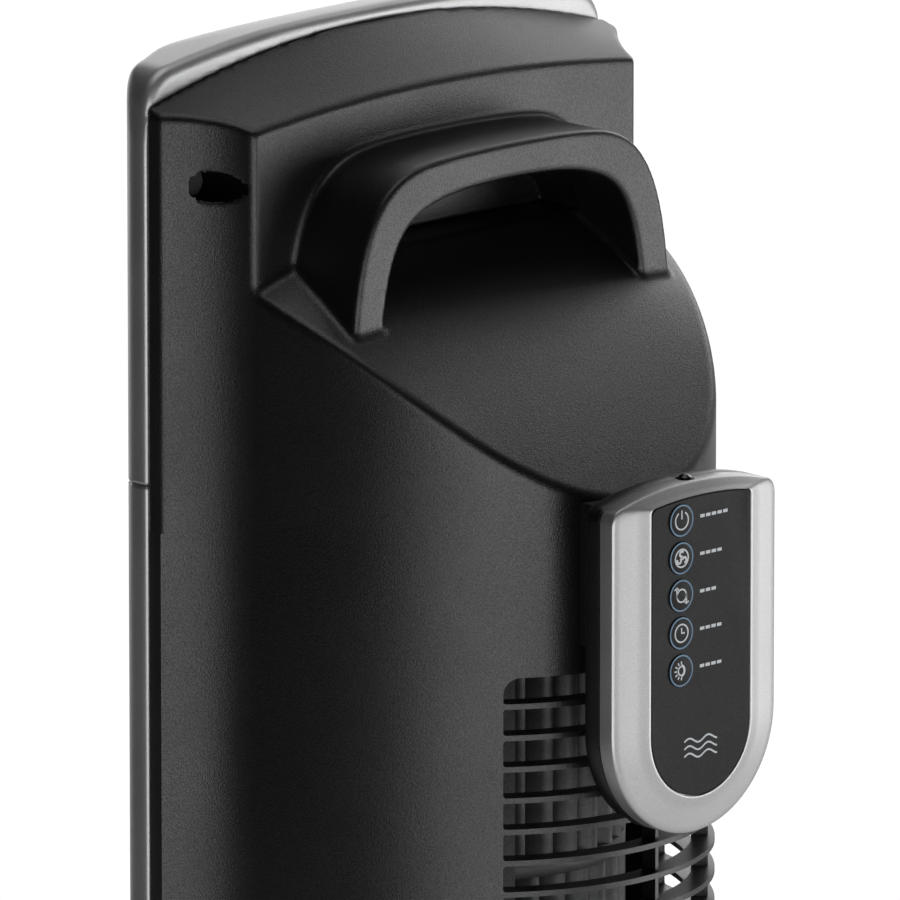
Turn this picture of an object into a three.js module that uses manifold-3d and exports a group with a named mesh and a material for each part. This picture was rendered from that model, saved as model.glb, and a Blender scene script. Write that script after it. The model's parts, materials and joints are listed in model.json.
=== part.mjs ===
// Free-standing oscillating tower fan with a carry handle and a docked remote control.
// Millimetres, +Z up. The origin is the middle of the base's underside, on the swing axis.
// The air leaves the fan toward -Y. The handle, the intake and the remote are at the rear, +Y.
import * as THREE from 'three';
import { mergeVertices } from 'three/addons/utils/BufferGeometryUtils.js';
import Module from 'manifold-3d';

const wasm = await Module();
wasm.setup();

// Driving dimensions
const GAP = 0.3; // left between pieces that touch
const WALL = 2.5; // moulded shell thickness
const FACE_Z = 1020; // bottom corners of the cap's flat rear face
const FACE_Y = -11.7; // that face
const FACE_HALF = 70; // its half width
const SEAM_Y = -37.4; // where the rear shell meets the silver front
const SEAM_HALF = 84; // half width of the tower there
const BAND = 4.7; // straight band behind the seam
const REAR_R = 62.5; // the tower's rounded rear, centred on the swing axis
const FRONT_Y = -50.9; // the silver front where its round edges begin
const FRONT_ROUND = 10; // radius of those edges
const BOW = 14; // the front bows out by this much in the middle
const CREST_Z = FACE_Z + 63.8; // the silver top's highest point
const SPLIT_Z = 966.7; // joint between the control head and the lower front frame
const SHELL_Z = 66; // lower edge of the tower's shells
const FAN_Y = -6.1; // the impeller's axis stands at X = 0, here
const FAN_R = 44;
const FAN_Z = [165, 930];
const BLADES = 12;
const DISC = 4.5; // thickness of the discs between the blades
const SHAFT_R = 4; // the fan's shaft and its upper pivot
const MOTOR_R = 45;
const INTAKE_Z = [175.5, 922.7];
const INTAKE_DEG = [51.5, 178]; // round the swing axis, from +X
const BAR_PITCH = 42; // one grille bar here stands for five fine ones
const BAR_HIGH = 8;
const BAR_DEEP = 6;
const PLATE_Z = 62.3; // underside of the tower's bottom plate
const TURN_R = 62; // turntable skirt
const PIVOT_R = 20; // the turntable's neck, in the base
const WIRE_R = 16; // the bore through the neck
const BASE_R = 150;
const BASE_TOP = 34;
const FOOT = { radius: 9, high: 3, place: 128 };
const CORD = { z: 11, hole: 4.6, outside: 4.3, bore: 2.9 };
const GEAR_MODULE = 1.5;
const GEAR_TEETH = 48;
const PINION_TEETH = 12;
const PINION_ANGLE = 212; // degrees round the swing axis
const PINION_SHAFT_R = 3;
const HANDLE = { half: 58.6, rise: 34, thick: 9.5, reach: 25 };
const SCREW = { x: 74.5, z: FACE_Z + 27.7, well: 4, seat: -32.5 }; // deep screws in the flanks
const REMOTE = { wide: 60, tall: 94, deep: 14, y: 68.7, z: 880.4 };
const PADS = { radius: 4.5, pitch: 10, x: 7.6, top: 85, count: 5 };

// Colours
const BLACK = { color: 0x1d1d1f, roughness: 0.55, metalness: 0 };
const SILVER = { color: 0xb9babd, roughness: 0.38, metalness: 0.6 };
const GLOSS = { color: 0x101114, roughness: 0.12, metalness: 0 };
const GREY = { color: 0x45484c, roughness: 0.6, metalness: 0 };
const WHITE = { color: 0xd8d8d4, roughness: 0.5, metalness: 0 };
const RUBBER = { color: 0x232323, roughness: 0.9, metalness: 0 };
const STEEL = { color: 0xa8abaf, roughness: 0.35, metalness: 1 };
const BOARD = { color: 0x1f6b3a, roughness: 0.6, metalness: 0 };
const LAMP = { color: 0x2a1216, roughness: 0.1, metalness: 0 };

// Solids

function solid(geometry) {
  const plain = geometry.clone();
  plain.deleteAttribute('normal');
  plain.deleteAttribute('uv');
  const merged = mergeVertices(plain, 1e-4);
  return new wasm.Manifold(new wasm.Mesh({
    numProp: 3,
    vertProperties: new Float32Array(merged.attributes.position.array),
    triVerts: new Uint32Array(merged.index.array),
  }));
}

function mesh(name, shape, look) {
  let geometry = shape;
  if (!shape.isBufferGeometry) {
    const made = shape.getMesh();
    geometry = new THREE.BufferGeometry();
    geometry.setAttribute('position', new THREE.BufferAttribute(made.vertProperties, 3));
    geometry.setIndex(new THREE.BufferAttribute(made.triVerts, 1));
    geometry.computeVertexNormals();
  }
  const piece = new THREE.Mesh(geometry, new THREE.MeshStandardMaterial(look));
  piece.name = name;
  return piece;
}

const joined = (parts) => parts.reduce((whole, part) => whole.add(part));

function block(x0, x1, y0, y1, z0, z1) {
  const geometry = new THREE.BoxGeometry(x1 - x0, y1 - y0, z1 - z0);
  return solid(geometry.translate((x0 + x1) / 2, (y0 + y1) / 2, (z0 + z1) / 2));
}

// A round bar along +Z.
function rod(radius, z0, z1, x = 0, y = 0, sides = 24) {
  const geometry = new THREE.CylinderGeometry(radius, radius, z1 - z0, sides).rotateX(Math.PI / 2);
  return solid(geometry.translate(x, y, (z0 + z1) / 2));
}

// A round bar along +Y.
function rodY(radius, y0, y1, x = 0, z = 0, sides = 24) {
  const geometry = new THREE.CylinderGeometry(radius, radius, y1 - y0, sides);
  return solid(geometry.translate(x, (y0 + y1) / 2, z));
}

// An outline in X and Y, extruded up from z0 to z1.
function prismZ(outline, z0, z1) {
  const shape = new THREE.Shape(outline);
  const geometry = new THREE.ExtrudeGeometry(shape, { depth: z1 - z0, bevelEnabled: false });
  return solid(geometry.translate(0, 0, z0));
}

// An outline in X and Z, extruded along Y from y0 to y1.
function prismY(outline, y0, y1) {
  const shape = new THREE.Shape(outline);
  const geometry = new THREE.ExtrudeGeometry(shape, { depth: y1 - y0, bevelEnabled: false });
  return solid(geometry.rotateX(Math.PI / 2).translate(0, y1, 0));
}

// A profile of [y, z] pairs, extruded along X from x0 to x1.
function prismX(profile, x0, x1) {
  const shape = new THREE.Shape(profile.map(([y, z]) => new THREE.Vector2(y, z)));
  const geometry = new THREE.ExtrudeGeometry(shape, { depth: x1 - x0, bevelEnabled: false });
  const turn = new THREE.Matrix4().set(0, 0, 1, x0, 1, 0, 0, 0, 0, 1, 0, 0, 0, 0, 0, 1);
  return solid(geometry.applyMatrix4(turn));
}

// A profile of [radius, height] pairs turned round an upright axis.
function turned(profile, sides, x = 0, y = 0) {
  const points = profile.map(([radius, height]) => new THREE.Vector2(radius, height));
  const geometry = new THREE.LatheGeometry(points, sides).rotateX(Math.PI / 2);
  return solid(geometry.translate(x, y, 0));
}

// A ring of rectangular section round an upright axis.
function ring(inner, outer, z0, z1, sides = 48, x = 0, y = 0) {
  const profile = [[inner, z0], [outer, z0], [outer, z1], [inner, z1], [inner, z0]];
  return turned(profile, sides, x, y);
}

// A closed block between two height functions of x and y, over a grid.
function blanket(xs, ys, low, high) {
  const position = [];
  const index = [];
  const across = ys.length;
  for (const height of [low, high]) {
    for (const x of xs) for (const y of ys) position.push(x, y, height(x, y));
  }
  const layer = xs.length * across;
  const at = (i, j, top) => i * across + j + (top ? layer : 0);
  const quad = (a, b, c, d) => index.push(a, b, c, a, c, d);
  for (let i = 0; i + 1 < xs.length; i += 1) {
    for (let j = 0; j + 1 < across; j += 1) {
      quad(at(i, j, 1), at(i + 1, j, 1), at(i + 1, j + 1, 1), at(i, j + 1, 1));
      quad(at(i, j, 0), at(i, j + 1, 0), at(i + 1, j + 1, 0), at(i + 1, j, 0));
    }
    quad(at(i, 0, 0), at(i + 1, 0, 0), at(i + 1, 0, 1), at(i, 0, 1));
    quad(at(i + 1, across - 1, 0), at(i, across - 1, 0), at(i, across - 1, 1), at(i + 1, across - 1, 1));
  }
  const last = xs.length - 1;
  for (let j = 0; j + 1 < across; j += 1) {
    quad(at(0, j + 1, 0), at(0, j, 0), at(0, j, 1), at(0, j + 1, 1));
    quad(at(last, j, 0), at(last, j + 1, 0), at(last, j + 1, 1), at(last, j, 1));
  }
  const geometry = new THREE.BufferGeometry();
  geometry.setAttribute('position', new THREE.Float32BufferAttribute(position, 3));
  geometry.setIndex(index);
  return solid(geometry);
}

// A solid through matching outlines in X and Z, given as [outline, y] in order of rising y.
function loftY(layers) {
  const count = layers[0][0].length;
  const position = layers.flatMap(([outline, y]) => outline.flatMap((point) => [point.x, y, point.y]));
  const index = [];
  const cap = (outline) => THREE.ShapeUtils.triangulateShape(outline, []);
  for (const [a, b, c] of cap(layers[0][0])) index.push(a, b, c);
  const end = (layers.length - 1) * count;
  for (const [a, b, c] of cap(layers.at(-1)[0])) index.push(end + a, end + c, end + b);
  for (let layer = 0; layer + 1 < layers.length; layer += 1) {
    for (let i = 0; i < count; i += 1) {
      const [a, b] = [layer * count + i, layer * count + (i + 1) % count];
      index.push(a, a + count, b + count, a, b + count, b);
    }
  }
  const geometry = new THREE.BufferGeometry();
  geometry.setAttribute('position', new THREE.Float32BufferAttribute(position, 3));
  geometry.setIndex(index);
  return solid(geometry);
}

function steps(from, to, count) {
  return Array.from({ length: count + 1 }, (_, i) => from + (to - from) * i / count);
}

const radians = THREE.MathUtils.degToRad;

// Outlines

// A closed outline moved inward by a distance. It runs anticlockwise.
function inset(outline, distance) {
  return outline.map((point, i) => {
    const before = outline.at(i - 1);
    const after = outline[(i + 1) % outline.length];
    const into = point.clone().sub(before).normalize();
    const out = after.clone().sub(point).normalize();
    const bisector = into.clone().add(out).normalize();
    const normal = new THREE.Vector2(-bisector.y, bisector.x);
    const miter = Math.max(0.3, normal.dot(new THREE.Vector2(-into.y, into.x)));
    return point.clone().addScaledVector(normal, distance / miter);
  });
}

// A rectangle with round corners.
function roundedRect(half, low, high, radius, divisions = 4) {
  const path = new THREE.Path();
  path.moveTo(half, high - radius);
  path.absarc(half - radius, high - radius, radius, 0, Math.PI / 2);
  path.absarc(radius - half, high - radius, radius, Math.PI / 2, Math.PI);
  path.absarc(radius - half, low + radius, radius, Math.PI, 1.5 * Math.PI);
  path.absarc(half - radius, low + radius, radius, 1.5 * Math.PI, 2 * Math.PI);
  path.closePath();
  return distinct(path.getPoints(divisions));
}

// The outline without its repeated points.
function distinct(points) {
  const kept = points.filter((point, i) => i === 0 || point.distanceTo(points[i - 1]) > 1e-3);
  if (kept[0].distanceTo(kept.at(-1)) < 1e-3) kept.pop();
  return kept;
}

// The rear shell's plan: flank band, concave flare, side and round rear, then their mirror image.
function rearPlan(divisions = 6) {
  const half = new THREE.Path();
  const diagonal = REAR_R * Math.SQRT1_2;
  half.moveTo(SEAM_HALF, SEAM_Y);
  half.lineTo(SEAM_HALF, SEAM_Y + BAND);
  half.bezierCurveTo(77, -25.7, 71.3, -18.7, FACE_HALF, FACE_Y);
  half.bezierCurveTo(68.4, 8, diagonal + 14, diagonal - 14, diagonal, diagonal);
  half.absarc(0, 0, REAR_R, Math.PI / 4, Math.PI / 2);
  const right = distinct(half.getPoints(divisions));
  const left = right.slice(0, -1).reverse().map((point) => new THREE.Vector2(-point.x, point.y));
  return [...right, ...left];
}

// Where the bowed front stands at x.
const bowY = (x) => FRONT_Y - BOW * (1 - (x / (SEAM_HALF - FRONT_ROUND)) ** 2);

// A curved strip of the front in plan, from `out` to `back` behind the bowed surface.
function bowStrip(half, out, back, divisions = 8) {
  const xs = steps(-half, half, divisions);
  const at = (x, shift) => new THREE.Vector2(x, bowY(x) + shift);
  return [...xs.map((x) => at(x, out)), ...xs.reverse().map((x) => at(x, back))];
}

// The front half's plan: round side edges and a bowed face.
function frontPlan(back) {
  const centre = SEAM_HALF - FRONT_ROUND;
  const turn = Math.atan(2 * BOW / centre); // the bow's slope where the round edges begin
  const path = new THREE.Path();
  path.moveTo(SEAM_HALF, back);
  path.lineTo(-SEAM_HALF, back);
  path.absarc(-centre, FRONT_Y + FRONT_ROUND, FRONT_ROUND, Math.PI, 1.5 * Math.PI - turn);
  for (const x of steps(0.9 - centre, centre - 0.9, 10)) path.lineTo(x, bowY(x));
  path.absarc(centre, FRONT_Y + FRONT_ROUND, FRONT_ROUND, 1.5 * Math.PI + turn, 2 * Math.PI);
  return distinct(path.getPoints(4));
}

// The whole tower's plan.
const towerPlan = () => distinct([...rearPlan(), ...frontPlan(SEAM_Y).slice(2)]);

// The front's elevation: straight sides, round top corners and a shallow arched top.
function frontElevation() {
  const shoulder = new THREE.Vector2(75, FACE_Z + 57.1);
  const right = new THREE.Path();
  right.moveTo(SEAM_HALF, SHELL_Z - 20);
  right.lineTo(SEAM_HALF, FACE_Z + 45);
  right.bezierCurveTo(SEAM_HALF, FACE_Z + 51, 80, shoulder.y - 1.2, shoulder.x, shoulder.y);
  right.bezierCurveTo(52, FACE_Z + 61.6, 26, CREST_Z, 0, CREST_Z);
  const points = distinct(right.getPoints(6));
  const left = points.slice(0, -1).reverse().map((point) => new THREE.Vector2(-point.x, point.y));
  return [...points, ...left];
}

// Rear shell

// Height of the cap's top: arched across, and rising from the rear face to the seam.
function capTop(x, y) {
  const forward = (FACE_Y - y) / (FACE_Y - SEAM_Y);
  const rear = 42.8 + 4.5 * (1 - (x / FACE_HALF) ** 2);
  const seam = 47.4 + 12.6 * (1 - (x / SEAM_HALF) ** 2);
  return FACE_Z + rear + (seam - rear) * forward;
}

// Height of the sloping surface under the handle: it steepens rearward, and its sides round down.
function scoopTop(x, y) {
  const back = y - FACE_Y;
  const edge = Math.min(1, Math.abs(x) / FACE_HALF) ** 5;
  const sideDrop = 7 * Math.max(0, 1 - back / 50) * edge;
  return FACE_Z + 7 - 0.55 * back - 0.00349 * back * back - sideDrop;
}

// The tower's rear half as a solid, with every outer surface moved inward by `thin`.
function rearSolid(thin, z0) {
  const plan = thin ? inset(rearPlan(), thin) : rearPlan();
  if (thin) for (const corner of [plan[0], plan.at(-1)]) corner.y = SEAM_Y - 20;
  const body = prismZ(plan, z0, FACE_Z + 80);
  const xs = steps(-90, 90, 12);
  const sky = () => FACE_Z + 120;
  const aboveCap = blanket(xs, [SEAM_Y - 20, FACE_Y + 1], (x, y) => capTop(x, y) - thin, sky);
  const ys = [FACE_Y - thin, ...steps(FACE_Y + 4, REAR_R + 4, 6)];
  const sides = [-78, -70, -66, -60, -52, -30, 0, 30, 52, 60, 66, 70, 78];
  const aboveScoop = blanket(sides, ys, (x, y) => scoopTop(x, y) - thin, sky);
  return body.subtract(aboveCap).subtract(aboveScoop);
}

// The handle's arch seen from the rear, `thin` millimetres inside its outer outline.
function archOutline(thin, foot) {
  const half = HANDLE.half - thin;
  const top = FACE_Z + HANDLE.rise - thin;
  const path = new THREE.Path();
  path.moveTo(half, foot);
  path.bezierCurveTo(half - 1, FACE_Z + 14, half - 8, top - 6, half - 24, top - 2);
  path.quadraticCurveTo(half - 34, top, 0, top);
  const right = distinct(path.getPoints(6));
  const left = right.slice(0, -1).reverse().map((point) => new THREE.Vector2(-point.x, point.y));
  return [...right, ...left];
}

// The hollow behind the handle's arch, for the fingers.
function fingerHollow(grow) {
  const outline = inset(archOutline(12, FACE_Z + 6), -grow);
  return prismY(outline, FACE_Y - 12 - grow, FACE_Y + 1 + grow);
}

function sector(inner, outer, from, to, divisions) {
  const turn = steps(radians(from), radians(to), divisions);
  const at = (radius, angle) => new THREE.Vector2(radius * Math.cos(angle), radius * Math.sin(angle));
  return [...turn.map((a) => at(outer, a)), ...turn.reverse().map((a) => at(inner, a))];
}

function rearHousing() {
  const outside = rearSolid(0, SHELL_Z).subtract(fingerHollow(0));
  const inside = rearSolid(WALL, SHELL_Z - 5).subtract(fingerHollow(WALL));
  const [from, to] = INTAKE_DEG;
  const intake = prismZ(sector(40, 80, from, to, 12), ...INTAKE_Z);
  let shell = outside.subtract(inside).subtract(intake);
  for (const side of [-1, 1]) {
    const boss = rodY(5.8, SEAM_Y + 1, FACE_Y, side * SCREW.x, SCREW.z, 16).intersect(outside);
    const well = rodY(SCREW.well, SCREW.seat, FACE_Y + 5, side * SCREW.x, SCREW.z, 16);
    const hole = rodY(2.1, SEAM_Y, FACE_Y, side * SCREW.x, SCREW.z, 12);
    shell = shell.add(boss).subtract(well).subtract(hole);
  }
  return mesh('rear_housing', shell, BLACK);
}

function carryHandle() {
  const rear = FACE_Y + HANDLE.reach;
  const arch = prismY(archOutline(0, FACE_Z - 24), FACE_Y + GAP, rear);
  const opening = prismY(archOutline(HANDLE.thick, FACE_Z - 40), FACE_Y - 5, rear + 5);
  const xs = [-78, -66, -60, -52, -30, 30, 52, 60, 66, 78];
  const ys = steps(FACE_Y - 5, rear + 5, 5);
  const below = () => FACE_Z - 80;
  const scoop = blanket(xs, ys, below, (x, y) => scoopTop(x, y) + GAP);
  return mesh('carry_handle', arch.subtract(opening).subtract(scoop), BLACK);
}

// Rear intake grille: curved bars between two ribs and a border, in the rear shell's opening.
function rearGrille() {
  const [from, to] = INTAKE_DEG;
  const margin = THREE.MathUtils.radToDeg(GAP / REAR_R);
  const [low, high] = [INTAKE_Z[0] + GAP, INTAKE_Z[1] - GAP];
  const inside = inset(rearPlan(), BAR_DEEP).filter((point) => point.y > FACE_Y);
  const strip = (start, end, z0, z1) => {
    const band = prismZ(rearPlan(), z0, z1).subtract(prismZ(inside, z0 - 1, z1 + 1));
    return band.intersect(prismZ(sector(30, 100, start, end, 6), z0 - 1, z1 + 1));
  };
  const lap = 0.7; // degrees by which the bars stop short, inside the end uprights
  const bar = (z, tall) => strip(from + lap, to - lap, z, z + tall);
  const upright = (angle, wide) => {
    const half = THREE.MathUtils.radToDeg(wide / 2 / REAR_R);
    return strip(angle - half, angle + half, low, high);
  };
  const parts = [bar(low, 2.5), bar(high - 2.5, 2.5)];
  const count = Math.floor((high - low - 2 * BAR_HIGH) / BAR_PITCH);
  for (let i = 1; i <= count; i += 1) parts.push(bar(high - 2.5 - i * BAR_PITCH, BAR_HIGH));
  const side = THREE.MathUtils.radToDeg(1 / REAR_R) + margin;
  parts.push(upright(from + side, 2), upright(96, 1.5), upright(136, 1.5), upright(to - side, 2));
  return mesh('rear_grille', joined(parts), BLACK);
}

// Silver front

// The front as a solid, with its outer surfaces moved inward by `thin`: its plan, its elevation
// and a top that curves down toward the bowed face.
function frontSolid(thin) {
  const trim = (outline) => (thin ? inset(outline, thin) : outline);
  const plan = prismZ(trim(frontPlan(SEAM_Y + 20)), SHELL_Z - 10, FACE_Z + 90);
  const elevation = prismY(trim(frontElevation()), -100, SEAM_Y + 30);
  const crest = CREST_Z - thin;
  const nose = FRONT_Y - BOW + thin;
  const drop = 24;
  const curve = steps(0, Math.PI / 2, 5).map((t) => [
    SEAM_Y - 4 + (nose - SEAM_Y + 4) * Math.sin(t),
    crest - drop + drop * Math.cos(t),
  ]);
  const profile = [[SEAM_Y + 30, SHELL_Z - 20], [SEAM_Y + 30, crest], ...curve, [nose, SHELL_Z - 20]];
  return plan.intersect(elevation).intersect(prismX(profile, -100, 100))
    .subtract(block(-100, 100, SEAM_Y - (thin ? -30 : GAP), SEAM_Y + 60, 0, FACE_Z + 100));
}

const headWindow = (grow = 0) => roundedRect(61 + grow, 981 - grow, 1062 + grow, 14);
const grilleWindow = (grow = 0) => roundedRect(62 + grow, 96 - grow, 950 + grow, 14);

function frontShells() {
  const outside = frontSolid(0);
  const shell = outside.subtract(frontSolid(WALL));
  const keep = (low, high) => block(-100, 100, -80, 0, low, high);
  const back = SEAM_Y - GAP;
  const overCap = blanket(steps(-90, 90, 12), [back - WALL, back], (x) => capTop(x, SEAM_Y) - 1.5, () => 1200);
  const head = shell.add(outside.intersect(overCap))
    .intersect(keep(SPLIT_Z + GAP / 2, 1200))
    .subtract(prismY(headWindow(), -80, 0));
  const frame = shell.intersect(keep(SHELL_Z, SPLIT_Z - GAP / 2)).subtract(prismY(grilleWindow(), -80, 0));
  return [mesh('control_head_bezel', head, SILVER), mesh('front_frame', frame, SILVER)];
}

// Front grille: level bars between a border and two uprights, just inside the frame's window.
function frontGrille() {
  const band = prismZ(bowStrip(66, 0.8, 5.8, 4), 90, 956);
  const window = band.intersect(prismY(grilleWindow(-GAP), -90, 0));
  const border = window.subtract(prismY(grilleWindow(-4), -90, 0));
  const parts = [border, window.intersect(block(-0.8, 0.8, -90, 0, 90, 956))];
  for (let z = 124; z < 935; z += BAR_PITCH) {
    parts.push(window.intersect(block(-62, 62, -90, 0, z, z + BAR_HIGH)));
  }
  return mesh('front_grille', joined(parts), BLACK);
}

// Control head

const KEYS = { radius: 6.3, z: 1000, xs: [-44, -22, 0, 22, 44] };
const LENS = { half: 29, z: [1025, 1051] };

function controlHead() {
  const across = (out, back) => prismZ(bowStrip(66, out, back), 960, FACE_Z + 60);
  const lensWindow = (grow) => {
    const outline = roundedRect(LENS.half + grow, LENS.z[0] - grow, LENS.z[1] + grow, 4);
    return prismY(outline, -90, 0);
  };
  let panel = across(0.6, 3.6).intersect(prismY(headWindow(-GAP), -90, 0)).subtract(lensWindow(GAP));
  for (const x of KEYS.xs) panel = panel.subtract(rodY(KEYS.radius + GAP, -90, 0, x, KEYS.z, 16));
  const lens = across(0.6, 2.6).intersect(lensWindow(0));
  const board = block(-56, 56, FRONT_Y + 6, FRONT_Y + 7.6, 988, 1058);
  const keys = KEYS.xs.map((x, i) => {
    const front = bowY(x);
    const cap = rodY(KEYS.radius, front - 1.2, front + 9, 0, 0, 12);
    const flange = rodY(KEYS.radius + 1.5, front + 6.6, front + 8, 0, 0, 12);
    const piece = mesh(`control_button_${i + 1}`, cap.add(flange), GREY);
    piece.position.set(x, 0, KEYS.z);
    return piece;
  });
  return [
    mesh('control_panel', panel, GLOSS),
    mesh('display_lens', lens, LAMP),
    mesh('control_board', board, BOARD),
    ...keys,
  ];
}

// Air path

function impeller() {
  const [low, high] = FAN_Z;
  const discs = [low, low + 252, low + 508, high - DISC];
  const parts = discs.map((z) => rod(FAN_R - 0.8, z, z + DISC, 0, FAN_Y, 36));
  for (let i = 0; i < BLADES; i += 1) {
    const blade = new THREE.BoxGeometry(9, 1.4, high - low - 2);
    blade.rotateZ(radians(32)).translate(FAN_R - 5.2, 0, (low + high) / 2);
    blade.rotateZ(2 * Math.PI * i / BLADES).translate(0, FAN_Y, 0);
    parts.push(solid(blade));
  }
  const hub = rod(9, low - 6, low + 20, 0, FAN_Y, 20);
  const bore = rod(SHAFT_R + GAP, low - 10, low + 16, 0, FAN_Y, 20);
  const pivot = rod(SHAFT_R, high - 2, high + 22, 0, FAN_Y, 16);
  return mesh('impeller', joined([...parts, hub]).subtract(bore).add(pivot), GREY);
}

function airPath() {
  const [low, high] = FAN_Z;
  const around = (radius, degrees) => {
    const angle = radians(degrees);
    return [radius * Math.cos(angle), FAN_Y + radius * Math.sin(angle)];
  };
  const scroll = steps(62, -20, 8).map((degrees, i) => around(47 + 0.9 * i, degrees));
  const volute = sheet([...scroll, [60, -38], [61, -44]], 2);
  const tongue = sheet([around(47.5, 172), around(48.5, 186), [-54, -26], [-60, -44]], 2);
  const plate = inset(rearPlan(), WALL + GAP);
  const deck = (z, thick, hole) => {
    const whole = prismZ(plate, z, z + thick).add(block(-78, 78, -42, -30, z, z + thick));
    return whole.subtract(rod(hole, z - 1, z + thick + 1, 0, FAN_Y));
  };
  const wall = [low - 8 + GAP, high + 8 - GAP];
  return [
    mesh('volute_wall', prismZ(volute, ...wall), BLACK),
    mesh('air_tongue', prismZ(tongue, ...wall), BLACK),
    mesh('upper_deck', deck(high + 8, 3, 9), GREY),
    mesh('motor_deck', deck(low - 11, 3, 10), GREY),
    mesh('upper_bearing', ring(SHAFT_R + GAP, 9 - GAP, high + 6, high + 14, 20, 0, FAN_Y), RUBBER),
  ];
}

// The closed outline of a sheet of even thickness along a run of [x, y] points.
function sheet(run, thick) {
  const points = run.map(([x, y]) => new THREE.Vector2(x, y));
  const side = points.map((point, i) => {
    const next = points[Math.min(i + 1, points.length - 1)];
    const along = next.clone().sub(points[Math.max(i - 1, 0)]).normalize();
    return point.clone().add(new THREE.Vector2(-along.y, along.x).multiplyScalar(thick));
  });
  return [...points, ...side.reverse()];
}

// Drive: the fan motor under its deck, and the swing motor with its pinion at the bottom.
function drive() {
  const top = FAN_Z[0] - 11 - GAP;
  const rotor = rod(20, top - 52, top - 16, 0, FAN_Y, 32);
  const shaft = rod(SHAFT_R, top - 66, FAN_Z[0] + 14, 0, FAN_Y, 20).add(rotor);
  const stator = ring(21, MOTOR_R - 3, top - 56, top - 12, 32, 0, FAN_Y);
  const cover = turned([
    [6, top - 70], [30, top - 70], [MOTOR_R, top - 62], [MOTOR_R, top], [MOTOR_R - 2, top],
    [MOTOR_R - 2, top - 60], [29, top - 67], [6, top - 67], [6, top - 70],
  ], 24, 0, FAN_Y);
  const [px, py] = pinionPlace();
  return {
    fixed: [
      mesh('motor_stator', stator, STEEL),
      mesh('motor_cover', cover, GREY),
      mesh('run_capacitor', block(50, 66, -44, -8, 70, 108), WHITE),
      mesh('swing_motor', rod(19, 66, 82, px, py, 28), STEEL),
    ],
    shaft: mesh('motor_shaft', shaft, STEEL),
  };
}

// Swing gears

function pinionPlace() {
  const reach = GEAR_MODULE * (GEAR_TEETH + PINION_TEETH) / 2;
  const angle = radians(PINION_ANGLE);
  return [reach * Math.cos(angle), reach * Math.sin(angle)];
}

// A spur gear's outline. `turn` is where the middle of one tooth points, in radians.
function gearOutline(teeth, turn) {
  const pitch = GEAR_MODULE * teeth / 2;
  const spots = [[-0.34, -1.25], [-0.12, 0.85], [0.12, 0.85], [0.34, -1.25]];
  const points = [];
  for (let i = 0; i < teeth; i += 1) {
    for (const [part, reach] of spots) {
      const angle = turn + 2 * Math.PI * (i + part) / teeth;
      const radius = pitch + reach * GEAR_MODULE;
      points.push(new THREE.Vector2(radius * Math.cos(angle), radius * Math.sin(angle)));
    }
  }
  return points;
}

function swingPinion() {
  const [px, py] = pinionPlace();
  const facing = radians(PINION_ANGLE) + Math.PI;
  const teeth = prismZ(gearOutline(PINION_TEETH, facing + Math.PI / PINION_TEETH), 36.6, 42.6);
  const spindle = rod(PINION_SHAFT_R, 42, 65.6, 0, 0, 16);
  const piece = mesh('swing_pinion', teeth.add(spindle), WHITE);
  piece.position.set(px, py, 0);
  return piece;
}

function swingGear() {
  const teeth = prismZ(gearOutline(GEAR_TEETH, radians(PINION_ANGLE)), BASE_TOP + GAP, BASE_TOP + 8);
  return mesh('swing_gear', teeth.subtract(rod(24, BASE_TOP - 2, BASE_TOP + 12, 0, 0, 32)), WHITE);
}

// Turntable: the tower's foot, which turns on the base.
function turntable() {
  const [px, py] = pinionPlace();
  const foot = turned([
    [WIRE_R, 20], [PIVOT_R, 20], [PIVOT_R, 56], [TURN_R - 3, 56], [TURN_R - 3, BASE_TOP + 2.6],
    [TURN_R, BASE_TOP + 2.6], [TURN_R, 62], [WIRE_R, 62], [WIRE_R, 20],
  ], 40);
  const table = foot.subtract(rod(PINION_SHAFT_R + GAP, 50, 66, px, py, 16));
  const plate = prismZ(towerPlan(), PLATE_Z, SHELL_Z - GAP);
  const holes = rod(WIRE_R, 50, 80, 0, 0, 24).add(rod(PINION_SHAFT_R + GAP, 50, 80, px, py, 16));
  return [
    mesh('turntable', table, BLACK),
    mesh('bottom_plate', plate.subtract(holes), BLACK),
    mesh('pivot_retainer', ring(PIVOT_R + GAP, 27, 27, 30.6, 24), STEEL),
  ];
}

// Base

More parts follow.
